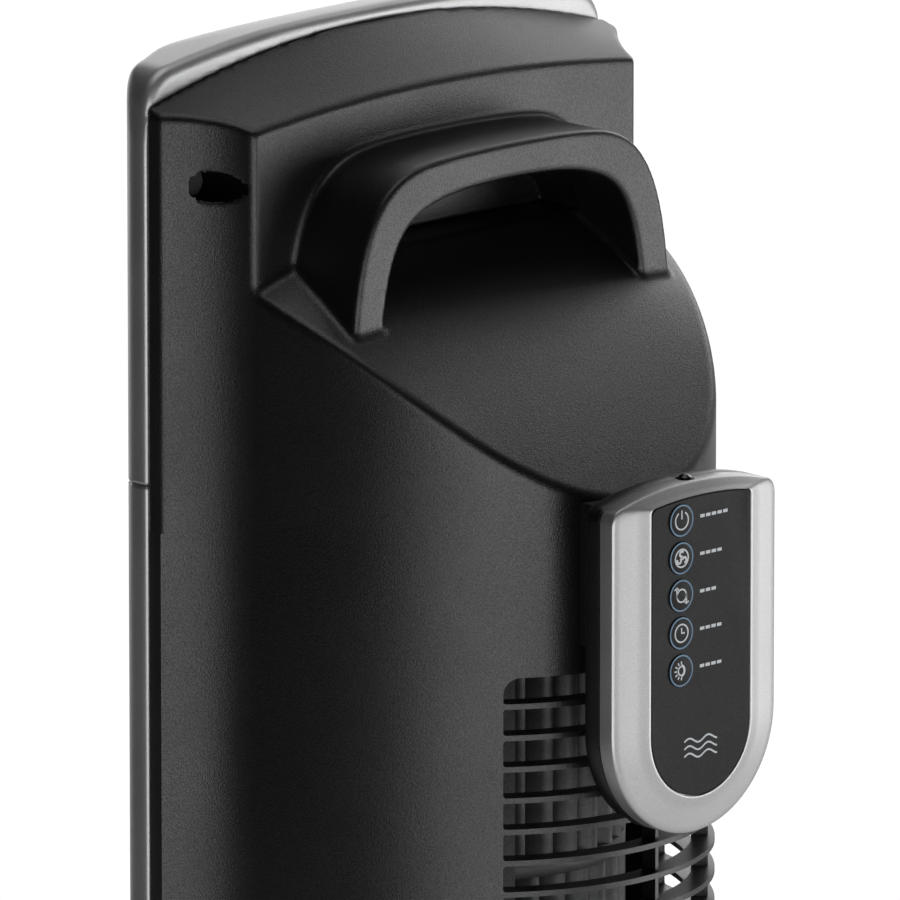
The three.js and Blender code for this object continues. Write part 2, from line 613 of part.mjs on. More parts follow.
function base() {
  const dome = (shift) => steps(0, 1, 5).map((t) => [
    146 - shift - (146 - 72 - shift) * t,
    18 - shift + (BASE_TOP - 18) * Math.sin(t * Math.PI / 2),
  ]);
  const hole = PIVOT_R + 0.5;
  const cover = turned([
    [hole, BASE_TOP - 3], ...dome(3).reverse(), [BASE_R - 3, 13], [BASE_R - 3, 4], [BASE_R, 4],
    [BASE_R, 13], [BASE_R - 1, 16], ...dome(0), [hole, BASE_TOP], [hole, BASE_TOP - 3],
  ], 40);
  const inlet = rodY(CORD.hole, 130, 155, 0, CORD.z, 16);
  const bush = rodY(CORD.outside, 138, 149.6, 0, CORD.z, 16)
    .subtract(rodY(CORD.bore, 130, 155, 0, CORD.z, 12));
  const floor = ring(12, 146.5, 3.3, 6, 40);
  const pieces = [
    mesh('base_cover', cover.subtract(inlet), BLACK),
    mesh('base_floor', floor, BLACK),
    mesh('ballast_plate', ring(60, 128, 6.3, 12.3, 32), STEEL),
    mesh('glide_ring', ring(TURN_R - 4, TURN_R + 2, BASE_TOP + GAP, BASE_TOP + 2.3, 32), WHITE),
    mesh('cord_bush', bush, RUBBER),
    swingGear(),
  ];
  for (let i = 0; i < 4; i += 1) {
    const angle = radians(45 + 90 * i);
    const piece = mesh(`base_foot_${i + 1}`, rod(FOOT.radius, 0, FOOT.high), RUBBER);
    piece.position.set(FOOT.place * Math.cos(angle), FOOT.place * Math.sin(angle), 0);
    pieces.push(piece);
  }
  return pieces;
}

// Remote control, in its own frame: X across, Y from its back to its face, Z up from its bottom.

// Round bottom, straight sides, small top corners and an arched top. `side`, `low` and `top` are
// how far it stays inside the remote's edge.
function remoteOutline(side, low = side, top = side) {
  const half = REMOTE.wide / 2 - side;
  const crest = REMOTE.tall - top;
  const corner = Math.max(1.5, 4 - side / 4);
  const fall = 3.2 * (half / (REMOTE.wide / 2)) ** 2; // the top's arch
  const path = new THREE.Path();
  path.absarc(0, low + half, half, Math.PI, 2 * Math.PI);
  path.lineTo(half, crest - fall - 1.2 * corner);
  path.quadraticCurveTo(half, crest - fall - 0.2 * corner, half - corner, crest - fall);
  path.quadraticCurveTo(half / 2, crest, 0, crest);
  path.quadraticCurveTo(-half / 2, crest, corner - half, crest - fall);
  path.quadraticCurveTo(-half, crest - fall - 0.2 * corner, -half, crest - fall - 1.2 * corner);
  return distinct(path.getPoints(6));
}

const SPLIT = 6.3; // depth of the rear shell
const RIM = [11.7, 10.3, 3.2]; // the silver rim round the label: sides, bottom, top
const CELL = { radius: 10, z: 30 };
const RAIL = { x: 15.5, half: 1.5, lip: 3, low: 50, high: 88 };
const PAD_ZS = steps(PADS.top, PADS.top - (PADS.count - 1) * PADS.pitch, PADS.count - 1);

function padHoles() {
  return joined(PAD_ZS.map((z) => rodY(PADS.radius + GAP, 0, 20, PADS.x, z, 12)));
}

function remoteRearShell() {
  const outline = remoteOutline(0);
  const lensHole = rod(2.5, 86, 100, 0, 7.8, 12);
  const hollow = prismY(remoteOutline(2), 4.8, 8);
  const well = rodY(CELL.radius + GAP, -1, 5.2, 0, CELL.z);
  let shell = prismY(outline, 0, SPLIT).subtract(hollow).subtract(well).subtract(lensHole);
  for (const side of [-1, 1]) {
    const neck = [side * (RAIL.x - RAIL.half - GAP), side * (RAIL.x + RAIL.half + GAP)];
    const lip = [neck[0], side * (RAIL.x + RAIL.half + RAIL.lip + GAP)];
    const span = (pair, y0, y1) => block(Math.min(...pair), Math.max(...pair), y0, y1, -5, RAIL.high + GAP);
    shell = shell.subtract(span(neck, -1, 2)).subtract(span(lip, 1.5, 3.6));
  }
  return mesh('remote_rear_shell', shell, BLACK);
}

function remoteFrontShell() {
  const outside = loftY([
    [remoteOutline(0), SPLIT + GAP],
    [remoteOutline(0), REMOTE.deep - 2.7],
    [remoteOutline(...RIM), REMOTE.deep],
  ]);
  const recess = prismY(remoteOutline(...RIM), REMOTE.deep - 1.1, 20);
  const hollow = prismY(remoteOutline(2), 0, 9.5);
  const lensHole = rod(2.5, 86, 100, 0, 7.8, 12);
  const shell = outside.subtract(recess).subtract(hollow).subtract(lensHole);
  return mesh('remote_front_shell', shell.subtract(padHoles()), SILVER);
}

function remoteParts() {
  const label = prismY(remoteOutline(...RIM.map((wide) => wide + GAP)), REMOTE.deep - 0.8, REMOTE.deep);
  const board = prismY(remoteOutline(5), 6.9, 8.1).subtract(block(-5, 5, 0, 20, 84, 100));
  const lens = turned([[0, 88], [2.2, 88], [2.2, 93.6], [1.6, 94.8], [0, 95.2]], 12, 0, 7.8);
  const cover = rodY(CELL.radius, 0, 1.4, 0, CELL.z);
  const cell = rodY(CELL.radius, 1.4 + GAP, 4.9, 0, CELL.z);
  const fixed = [
    remoteFrontShell(),
    remoteRearShell(),
    mesh('remote_label', label.subtract(padHoles()), GLOSS),
    mesh('remote_board', board, BOARD),
    mesh('coin_cell', cell, STEEL),
    mesh('cell_cover', cover, BLACK),
    mesh('infrared_lens', lens, LAMP),
  ];
  const pads = PAD_ZS.map((z, i) => {
    const cap = rodY(PADS.radius - 0.05, 8.6, REMOTE.deep + 0.3, 0, 0, 10);
    const flange = rodY(PADS.radius + 0.3, 8.6, 9.2, 0, 0, 10);
    const piece = mesh(`remote_button_${i + 1}`, cap.add(flange), GREY);
    piece.position.set(PADS.x, 0, z);
    return piece;
  });
  return [...fixed, ...pads];
}

// The dock that the remote hangs on: a block on the rear shell with two hooked rails.
function remoteDock() {
  const z0 = REMOTE.z;
  const back = block(-21, 21, 50, REMOTE.y - GAP, z0 + RAIL.low, z0 + RAIL.high)
    .subtract(rod(REAR_R + GAP, z0, z0 + 100, 0, 0, 96));
  const rails = [-1, 1].flatMap((side) => {
    const inner = side * (RAIL.x - RAIL.half);
    const span = (reach, y0, y1) => {
      const ends = [inner, side * (RAIL.x + reach)].sort((a, b) => a - b);
      return block(...ends, REMOTE.y + y0, REMOTE.y + y1, z0 + RAIL.low, z0 + RAIL.high);
    };
    return [span(RAIL.half, -2, 2), span(RAIL.half + RAIL.lip, 1.8, 3.3)];
  });
  return mesh('remote_dock', joined([back, ...rails]), BLACK);
}

function housingScrews() {
  return [['left', 1], ['right', -1]].map(([side, sign]) => {
    const head = rodY(3.5, SCREW.seat + GAP, SCREW.seat + 2.5, 0, 0, 12);
    const shank = rodY(1.8, SEAM_Y + 0.5, SCREW.seat + 1, 0, 0, 10);
    const piece = mesh(`housing_screw_${side}`, head.add(shank), STEEL);
    piece.position.set(sign * SCREW.x, 0, SCREW.z);
    return piece;
  });
}

// Assembly

function groupOf(pieces, x = 0, y = 0, z = 0) {
  const group = new THREE.Group();
  group.add(...pieces);
  group.position.set(x, y, z);
  return group;
}

const { fixed: driveParts, shaft } = drive();
const tower = groupOf([
  rearHousing(),
  carryHandle(),
  rearGrille(),
  ...frontShells(),
  frontGrille(),
  ...controlHead(),
  ...airPath(),
  ...driveParts,
  ...turntable(),
  remoteDock(),
  ...housingScrews(),
  swingPinion(),
  groupOf([impeller(), shaft]),
  groupOf(remoteParts(), 0, REMOTE.y, REMOTE.z),
]);

const towerFan = groupOf([...base(), tower]);

export default towerFan;
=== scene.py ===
"""Looks for the oscillating tower fan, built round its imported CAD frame.

Sizes are in millimetres in the frame's own axes: +Z up, the air leaves toward -Y, and the handle,
the intake and the remote are at +Y. Meshes are scaled to metres where they are made.
"""

import itertools
import json
import math

import bmesh
import bpy
import numpy as np
from mathutils import Matrix, Vector


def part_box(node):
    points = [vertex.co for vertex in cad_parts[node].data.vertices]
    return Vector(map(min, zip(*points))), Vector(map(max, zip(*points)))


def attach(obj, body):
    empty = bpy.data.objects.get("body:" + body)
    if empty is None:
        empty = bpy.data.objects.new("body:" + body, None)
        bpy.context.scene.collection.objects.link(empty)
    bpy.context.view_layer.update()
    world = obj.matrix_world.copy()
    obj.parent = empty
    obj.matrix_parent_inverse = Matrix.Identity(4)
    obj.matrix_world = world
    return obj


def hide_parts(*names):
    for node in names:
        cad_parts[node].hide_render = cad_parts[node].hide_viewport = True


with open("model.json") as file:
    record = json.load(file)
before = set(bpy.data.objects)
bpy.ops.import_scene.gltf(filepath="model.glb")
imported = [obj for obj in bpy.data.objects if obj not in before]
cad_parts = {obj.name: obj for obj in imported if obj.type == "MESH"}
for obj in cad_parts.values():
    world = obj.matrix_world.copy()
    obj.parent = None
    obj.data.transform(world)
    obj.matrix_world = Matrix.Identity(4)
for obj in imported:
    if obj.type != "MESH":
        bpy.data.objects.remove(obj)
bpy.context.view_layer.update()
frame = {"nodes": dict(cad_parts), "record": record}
MM = 0.001


def corner(node, side):
    """The lowest (0) or highest (1) corner of a CAD node, in millimetres."""
    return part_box(node)[side] / MM


def middle_of(node):
    return (corner(node, 0) + corner(node, 1)) / 2


# Driving dimensions
GAP = 0.3
WALL = 2.5
FACE_Z = 1020.0  # bottom corners of the cap's flat rear face
FACE_Y = -11.7
FACE_HALF = 70.0
SEAM_Y = -37.4  # where the rear shell meets the silver front
SEAM_HALF = 84.0
BAND = 4.7
REAR_R = 62.5
FRONT_Y = -50.9
FRONT_ROUND = 10.0
BOW = 14.0
SPLIT_Z = 966.7
SHELL_Z = corner("rear_housing", 0).z
JOIN_Z = 955.0  # the head is modelled above this height, and the plain body below it
CREST_Z = corner("control_head_bezel", 1).z
HANDLE_HALF = 58.6
HANDLE_THICK = 9.5
HANDLE_REACH = 25.0
SCREW_R = 3.5
WELL_R = 4.0
BOSS_R = 5.8
FAN_Y = -6.1
FAN_LOW = 165.0
FAN_HIGH = 930.0
FAN_R = 44.0
INTAKE = (51.5, 178.0)  # degrees round the swing axis, from +X
INTAKE_TOP = 922.7
SLOT_PITCH = 8.4
SLOT_HIGH = 6.95
SLOT_ROWS = 89
BAR_DEPTH = 6.0
RIBS = (96.0, 136.0)
RIB_WIDE = 1.3
REMOTE = Vector((0, corner("remote_rear_shell", 0).y, corner("remote_rear_shell", 0).z))
REMOTE_WIDE = 60.0
REMOTE_TALL = 94.0
REMOTE_DEEP = 14.0
EYE_Y = 7.8
EYE_R = 2.5
PAD_X = 7.6
PAD_R = 4.45
PAD_ZS = [85.0 - 10.0 * i for i in range(5)]
KEY_XS = (-44, -22, 0, 22, 44)
KEY_Z = 1000.0
KEY_R = 6.3
LENS_HALF = 29.0
LENS_Z = (1025.0, 1051.0)
HEAD_WINDOW = (61.0, 981.0, 1062.0, 14.0)  # half width, bottom, top and corner radius
LOW_WINDOW = (62.0, 96.0, 950.0, 14.0)
BASE_TOP = 34.0
INLET_Z = 11.0


# Finishes, one for each material slot of the record, the prints, a painted shade for the screw wells
# and the lit segments


def remap(tree, factor, ends):
    """A factor taken from one range to another, given as the limits of both."""
    scale = tree.nodes.new("ShaderNodeMapRange")
    for socket, end in zip(("From Min", "From Max", "To Min", "To Max"), ends):
        scale.inputs[socket].default_value = end
    tree.links.new(factor, scale.inputs["Value"])
    return scale.outputs["Result"]


def finish(name, colour, roughness, grain=0.4, relief=0.012, metallic=0.0, mottle=0.12, coat=0.0,
           sheen=0.5):
    """A moulded, painted or printed surface: a grain in relief, uneven gloss and a faint mottle.
    `grain` is the grain's size and `relief` its depth, in millimetres. `sheen` is how strongly
    it reflects."""
    material = bpy.data.materials.new(name)
    material.use_nodes = True
    nodes = material.node_tree.nodes
    link = material.node_tree.links.new
    shader = nodes["Principled BSDF"]
    shader.inputs["Metallic"].default_value = metallic
    shader.inputs["Coat Weight"].default_value = coat
    shader.inputs["Coat Roughness"].default_value = 0.08
    place = nodes.new("ShaderNodeTexCoord")

    def noise(size, detail):
        texture = nodes.new("ShaderNodeTexNoise")
        texture.inputs["Scale"].default_value = 1 / (size * MM)
        texture.inputs["Detail"].default_value = detail
        link(place.outputs["Object"], texture.inputs["Vector"])
        return texture.outputs["Fac"]

    def span(factor, low, high):
        return remap(material.node_tree, factor, (0.3, 0.7, low, high))

    fine = noise(grain, 2)
    broad = noise(30, 3)
    tint = nodes.new("ShaderNodeMix")
    tint.data_type = "RGBA"
    tint.inputs["A"].default_value = (*[c * (1 - mottle) for c in colour], 1)
    tint.inputs["B"].default_value = (*[min(1, c * (1 + mottle)) for c in colour], 1)
    blend = nodes.new("ShaderNodeMath")
    blend.operation = "ADD"
    link(span(fine, 0.1, 0.75), blend.inputs[0])
    link(span(broad, 0.0, 0.2), blend.inputs[1])
    link(blend.outputs["Value"], tint.inputs["Factor"])
    link(tint.outputs["Result"], shader.inputs["Base Color"])
    link(span(fine, sheen * 0.7, sheen * 1.3), shader.inputs["Specular IOR Level"])
    link(span(broad, roughness - 0.03, roughness + 0.04), shader.inputs["Roughness"])
    bump = nodes.new("ShaderNodeBump")
    bump.inputs["Distance"].default_value = relief * MM
    link(fine, bump.inputs["Height"])
    link(bump.outputs["Normal"], shader.inputs["Normal"])
    return material


def glow(name, colour, strength):
    """A lit part of the display."""
    material = finish(name, colour, 0.4)
    shader = material.node_tree.nodes["Principled BSDF"]
    shader.inputs["Emission Color"].default_value = (*colour, 1)
    shader.inputs["Emission Strength"].default_value = strength
    return material


def smoked(name, colour):
    """Dark clear plastic."""
    material = finish(name, colour, 0.08, grain=4, relief=0.001)
    shader = material.node_tree.nodes["Principled BSDF"]
    shader.inputs["Transmission Weight"].default_value = 0.75
    shader.inputs["IOR"].default_value = 1.49
    return material


FINISHES = {
    "black_plastic": finish("black_plastic", (0.004, 0.004, 0.0042), 0.34, 0.4, 0.08),
    "silver_paint": finish("silver_paint", (0.37, 0.37, 0.375), 0.4, 0.3, 0.006, 0.8, 0.14, 0.1),
    "gloss_black": finish("gloss_black", (0.012, 0.012, 0.014), 0.12, 3, 0.002, coat=0.5),
    "label_film": finish("label_film", (0.006, 0.0062, 0.007), 0.42, 0.3, 0.004, sheen=0.12),
    "key_grey": finish("key_grey", (0.06, 0.062, 0.066), 0.42, 0.4, 0.008),
    "inner_grey": finish("inner_grey", (0.022, 0.022, 0.023), 0.6, 0.6, 0.015),
    "fan_grey": finish("fan_grey", (0.034, 0.035, 0.037), 0.46, 0.5, 0.01),
    "white_nylon": finish("white_nylon", (0.7, 0.7, 0.67), 0.45, 0.6, 0.01),
    "rubber": finish("rubber", (0.018, 0.018, 0.018), 0.85, 0.5, 0.03),
    "steel": finish("steel", (0.52, 0.53, 0.55), 0.34, 0.5, 0.006, 1.0),
    "circuit_board": finish("circuit_board", (0.02, 0.15, 0.06), 0.35, 1.5, 0.01, coat=0.4),
    "dark_lens": smoked("dark_lens", (0.02, 0.012, 0.014)),
}
PRINT_LIGHT = finish("print_light", (0.42, 0.44, 0.46), 0.5, 0.2, 0.002)
PRINT_BLUE = finish("print_blue", (0.045, 0.12, 0.2), 0.45, 0.2, 0.002)
# Painted shade: a near-black, dull, barely reflecting finish for the screw wells' inner walls, dark
# whatever the light.
PAINTED_WELL_SHADE = finish("painted_well_shade", (0.001, 0.001, 0.001), 0.9, 0.5, 0.03, sheen=0.04)
LIT = glow("lit_segment", (0.25, 0.55, 1.0), 2.0)


# Mesh helpers


def tool(points, faces, name="tool"):
    """A solid from points in millimetres. Under its first name it cuts or waits to be cut."""
    mesh = bpy.data.meshes.new(name)
    mesh.from_pydata((np.asarray(points, float) * MM).tolist(), [], [tuple(f) for f in faces])
    obj = bpy.data.objects.new(name, mesh)
    bpy.context.scene.collection.objects.link(obj)
    return obj


def add(name, points, faces, slot, body, replaced=(), sharp=32, material=None):
    """A piece of the object from points in millimetres. It rides on a CAD body."""
    obj = tool(points, faces, name)
    obj.data.validate()
    return dress(obj, name, slot, body, replaced, sharp, material)


def dress(obj, name, slot, body, replaced=(), sharp=32, material=None):
    """Gives a piece its name, the finish of its slot, shading and body, and hides the CAD nodes that
    it stands for.
    """
    obj.name = name
    mesh = obj.data
    work = bmesh.new()
    work.from_mesh(mesh)
    bmesh.ops.remove_doubles(work, verts=work.verts, dist=1e-7)
    bmesh.ops.recalc_face_normals(work, faces=work.faces)
    work.to_mesh(mesh)
    work.free()
    mesh.shade_smooth()
    mesh.set_sharp_from_angle(angle=math.radians(sharp))
    mesh.materials.clear()
    mesh.materials.append(material or FINISHES[slot])
    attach(obj, body)
    if replaced:
        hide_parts(*replaced)
    return obj


def settled(obj):
    """Puts an object's modifiers into its mesh."""
    graph = bpy.context.evaluated_depsgraph_get()
    made = bpy.data.meshes.new_from_object(obj.evaluated_get(graph))
    obj.modifiers.clear()
    obj.data = made
    return obj


def carve(obj, cutters, operation="DIFFERENCE"):
    """Cuts an object by solids, and removes the solids."""
    for cutter in cutters:
        modifier = obj.modifiers.new("cut", "BOOLEAN")
        modifier.object = cutter
        modifier.operation = operation
        modifier.solver = "EXACT"
    settled(obj)
    for cutter in cutters:
        bpy.data.objects.remove(cutter)
    return obj


def edge_round(obj, width, segments, angle=35):
    """Rounds an object's sharp edges, in the mesh itself."""
    modifier = obj.modifiers.new("round", "BEVEL")
    modifier.width = width * MM
    modifier.segments = segments
    modifier.limit_method = "ANGLE"
    modifier.angle_limit = math.radians(angle)
    return settled(obj)


def curve(control, count):
    """Points along a Bezier curve given by its control points."""
    points = []
    for t in np.linspace(0, 1, count + 1):
        level = [np.array(p, float) for p in control]
        while len(level) > 1:
            level = [a + (b - a) * t for a, b in zip(level, level[1:])]
        points.append(tuple(level[0]))
    return points


def arc(cx, cy, radius, start, end, count):
    """Points on an arc, from one angle to another in degrees."""
    turns = np.radians(np.linspace(start, end, count + 1))
    return [(cx + radius * math.cos(a), cy + radius * math.sin(a)) for a in turns]


def circle(radius, cx=0.0, cy=0.0, count=40):
    return arc(cx, cy, radius, 0, 360 - 360 / count, count - 1)


def mirrored(half):
    """A half outline ending on the axis, followed by its mirror image."""
    return half + [(-x, y) for x, y in reversed(half[:-1])]


def round_box(half, low, high, radius, count=8):
    """A rectangle with round corners, centred on x = 0, anticlockwise."""
    inner = half - radius
    corners = [(inner, high - radius, 0), (-inner, high - radius, 90),
               (-inner, low + radius, 180), (inner, low + radius, 270)]
    return [p for x, y, a in corners for p in arc(x, y, radius, a, a + 90, count)]


def loft(rings, closed_ends=True):
    """Points and faces of a solid through rings of equally many 3-D points."""
    count = len(rings[0])
    points = [p for ring in rings for p in ring]
    faces = []
    for level in range(len(rings) - 1):
        for i in range(count):
            a, b = level * count + i, level * count + (i + 1) % count
            faces.append((a, b, b + count, a + count))
    if closed_ends:
        faces.append(tuple(reversed(range(count))))
        faces.append(tuple(range(len(points) - count, len(points))))
    return points, faces


def prism_y(outline, y0, y1):
    """An outline in X and Z, extruded along Y."""
    return loft([[(x, y, z) for x, z in outline] for y in (y0, y1)])


def prism_z(outline, z0, z1):
    """An outline in X and Y, extruded along Z."""
    return loft([[(x, y, z) for x, y in outline] for z in (z0, z1)])


def block(x0, x1, y0, y1, z0, z1):
    """A box along the axes."""
    return prism_z([(x0, y0), (x1, y0), (x1, y1), (x0, y1)], z0, z1)


def disc_y(radius, x, z, y0, y1, count=48):
    """A round bar along Y."""
    return prism_y(circle(radius, x, z, count), y0, y1)


def lathe(profile, count, x=0.0, y=0.0):
    """A closed profile of (radius, height) pairs turned round an upright axis."""
    turns = np.radians(np.arange(count) * 360 / count)
    rings = [[(x + r * math.cos(a), y + r * math.sin(a), z) for a in turns] for r, z in profile]
    return loft(rings + rings[:1], closed_ends=False)


def merged(solids):
    """Several (points, faces) pairs as one."""
    points, faces = [], []
    for more, sides in solids:
        base = len(points)
        points.extend(more)
        faces.extend(tuple(i + base for i in side) for side in sides)
    return points, faces


def laid(solid, x, y, z):
    """A turned solid laid with its axis along +Y, with its foot at a place."""
    points, faces = solid
    return [(x + a, y + c, z + b) for a, b, c in points], faces


# Implicit solids. A field is negative inside, and close to a distance in millimetres.


def distance_to(outline, pitch=0.5, margin=10):
    """A function of two coordinates: the signed distance to a closed outline, from a table."""
    points = np.array(outline, float)
    low = points.min(0) - margin
    high = points.max(0) + margin
    us = np.arange(low[0], high[0] + pitch, pitch)
    vs = np.arange(low[1], high[1] + pitch, pitch)
    u, v = np.meshgrid(us, vs, indexing="ij")
    nearest = np.full(u.shape, 1e9)
    inside = np.zeros(u.shape, bool)
    for (au, av), (bu, bv) in zip(points, np.roll(points, -1, 0)):
        du, dv = bu - au, bv - av
        length = du * du + dv * dv
        if length < 1e-12:
            continue
        t = np.clip(((u - au) * du + (v - av) * dv) / length, 0, 1)
        nearest = np.minimum(nearest, np.hypot(u - au - t * du, v - av - t * dv))
        if av != bv:
            inside ^= ((av > v) != (bv > v)) & (u < au + (v - av) * du / dv)
    table = np.where(inside, -nearest, nearest)

    def lookup(a, b):
        i = np.clip((a - low[0]) / pitch, 0, len(us) - 1.001)
        j = np.clip((b - low[1]) / pitch, 0, len(vs) - 1.001)
        i, j = np.broadcast_arrays(i, j)
        i0, j0 = i.astype(int), j.astype(int)
        fi, fj = i - i0, j - j0
        low_edge = table[i0, j0] * (1 - fj) + table[i0, j0 + 1] * fj
        high_edge = table[i0 + 1, j0] * (1 - fj) + table[i0 + 1, j0 + 1] * fj
        return low_edge * (1 - fi) + high_edge * fi

    return lookup


def meet(a, b, radius):
    """What is in both solids, with the edge between them rounded."""
    rounded = np.hypot(np.maximum(radius + a, 0), np.maximum(radius + b, 0))
    return np.minimum(-radius, np.maximum(a, b)) + rounded


def join(a, b, radius):
    """What is in either solid, with a fillet between them."""
    rounded = np.hypot(np.maximum(radius - a, 0), np.maximum(radius - b, 0))
    return np.maximum(radius, np.minimum(a, b)) - rounded


def surface(field, xs, ys, zs, flat_floor=False):
    """Points and quads of the surface where a field is zero, over a rectilinear grid.
    Each crossed cell has one point, moved on to the surface along the field's slope."""
    axes = [np.asarray(xs, float), np.asarray(ys, float), np.asarray(zs, float)]
    sizes = [len(a) for a in axes]
    grid = field(axes[0][:, None, None], axes[1][None, :, None], axes[2][None, None, :])
    grid = np.broadcast_to(grid, sizes)
    inside = grid < 0
    cells = [n - 1 for n in sizes]
    count = np.zeros(cells, np.int8)
    for i, j, k in itertools.product((0, 1), repeat=3):
        count += inside[i:cells[0] + i, j:cells[1] + j, k:cells[2] + k]
    crossed = (count > 0) & (count < 8)
    number = np.full(cells, -1, np.int64)
    number[crossed] = np.arange(crossed.sum())
    cell = np.argwhere(crossed)
    total = np.zeros((len(cell), 3))
    hits = np.zeros(len(cell))
    for axis in range(3):
        step = np.eye(3, dtype=int)[axis]
        for i, j in itertools.product((0, 1), repeat=2):
            start = cell + np.insert([i, j], axis, 0)
            end = start + step
            a, b = grid[tuple(start.T)], grid[tuple(end.T)]
            change = (a < 0) != (b < 0)
            part = np.where(change, a / np.where(change, a - b, 1), 0)
            low = np.stack([axes[d][start[:, d]] for d in range(3)], 1)
            high = np.stack([axes[d][end[:, d]] for d in range(3)], 1)
            total += (low + part[:, None] * (high - low)) * change[:, None]
            hits += change
    points = total / hits[:, None]
    small = 0.05
    for _ in range(3):
        here = field(*points.T)
        slope = np.zeros_like(points)
        for axis in range(3):
            shift = np.eye(3)[axis] * small
            change = field(*(points + shift).T) - field(*(points - shift).T)
            slope[:, axis] = change / (2 * small)
        steep = np.maximum((slope**2).sum(1), 0.25)
        points -= np.clip(here / steep, -1, 1)[:, None] * slope
    if flat_floor:
        points[cell[:, 2] == 0, 2] = axes[2][0]
    faces = []
    for axis in range(3):
        u, v = (axis + 1) % 3, (axis + 2) % 3
        first = np.take(inside, range(sizes[axis] - 1), axis)
        second = np.take(inside, range(1, sizes[axis]), axis)
        edge = np.argwhere(first != second)
        for side in (u, v):
            edge = edge[(edge[:, side] > 0) & (edge[:, side] < cells[side])]
        du, dv = np.eye(3, dtype=int)[u], np.eye(3, dtype=int)[v]
        turn = (edge - du - dv, edge - dv, edge, edge - du)
        quad = np.stack([number[tuple(q.T)] for q in turn], 1)
        outward = inside[tuple(edge.T)]
        faces.append(np.where(outward[:, None], quad, quad[:, ::-1]))
    return points, np.concatenate(faces).tolist()


def close_floor(points, faces):
    """Joins the two open rims of a hollow shell by a flat ring."""
    work = bmesh.new()
    verts = [work.verts.new(p) for p in points]
    for face in faces:
        work.faces.new([verts[i] for i in face])
    rims = [e for e in work.edges if e.is_boundary]
    bmesh.ops.bridge_loops(work, edges=rims)
    work.verts.index_update()
    made = [tuple(v.co) for v in work.verts], [tuple(v.index for v in f.verts) for f in work.faces]
    work.free()
    return made


# Rear housing


def rear_plan():
    """The rear shell's plan, from the seam at +X round the back to the seam at -X."""
    diagonal = REAR_R * math.sqrt(0.5)
    start = (SEAM_HALF, SEAM_Y + BAND)
    side = (FACE_HALF, FACE_Y)
    half = [(SEAM_HALF, SEAM_Y), (SEAM_HALF, SEAM_Y + BAND / 2)]
    half += curve([start, (77, -25.7), (71.3, -18.7), side], 24)
    half += curve([side, (68.4, 8), (diagonal + 14, diagonal - 14), (diagonal, diagonal)], 40)[1:]
    half += arc(0, 0, REAR_R, 45, 90, 30)[1:]
    return mirrored(half)


def cap_height(x, y):
    """Height of the cap's top: arched across, and rising from the rear face to the seam."""
    forward = (FACE_Y - y) / (FACE_Y - SEAM_Y)
    rear = 42.8 + 4.5 * (1 - (x / FACE_HALF) ** 2)
    seam = 47.4 + 12.6 * (1 - (x / SEAM_HALF) ** 2)
    return FACE_Z + rear + (seam - rear) * forward


def scoop_height(x, y):
    """Height of the sloping surface under the handle."""
    back = y - FACE_Y
    edge = np.minimum(1, np.abs(x) / FACE_HALF) ** 5
    side_drop = 7 * np.maximum(0, 1 - back / 50) * edge
    return FACE_Z + 7 - 0.55 * back - 0.00349 * back * back - side_drop


def arch_outline(thin, foot):
    """The handle's arch seen from the rear, `thin` inside its outer outline."""
    half = HANDLE_HALF - thin
    top = FACE_Z + 34 - thin
    shoulder = (half - 24, top - 2)
    side = curve([(half, foot), (half - 1, FACE_Z + 14), (half - 8, top - 6), shoulder], 24)
    return mirrored(side + curve([shoulder, (half - 34, top), (0, top)], 16)[1:])


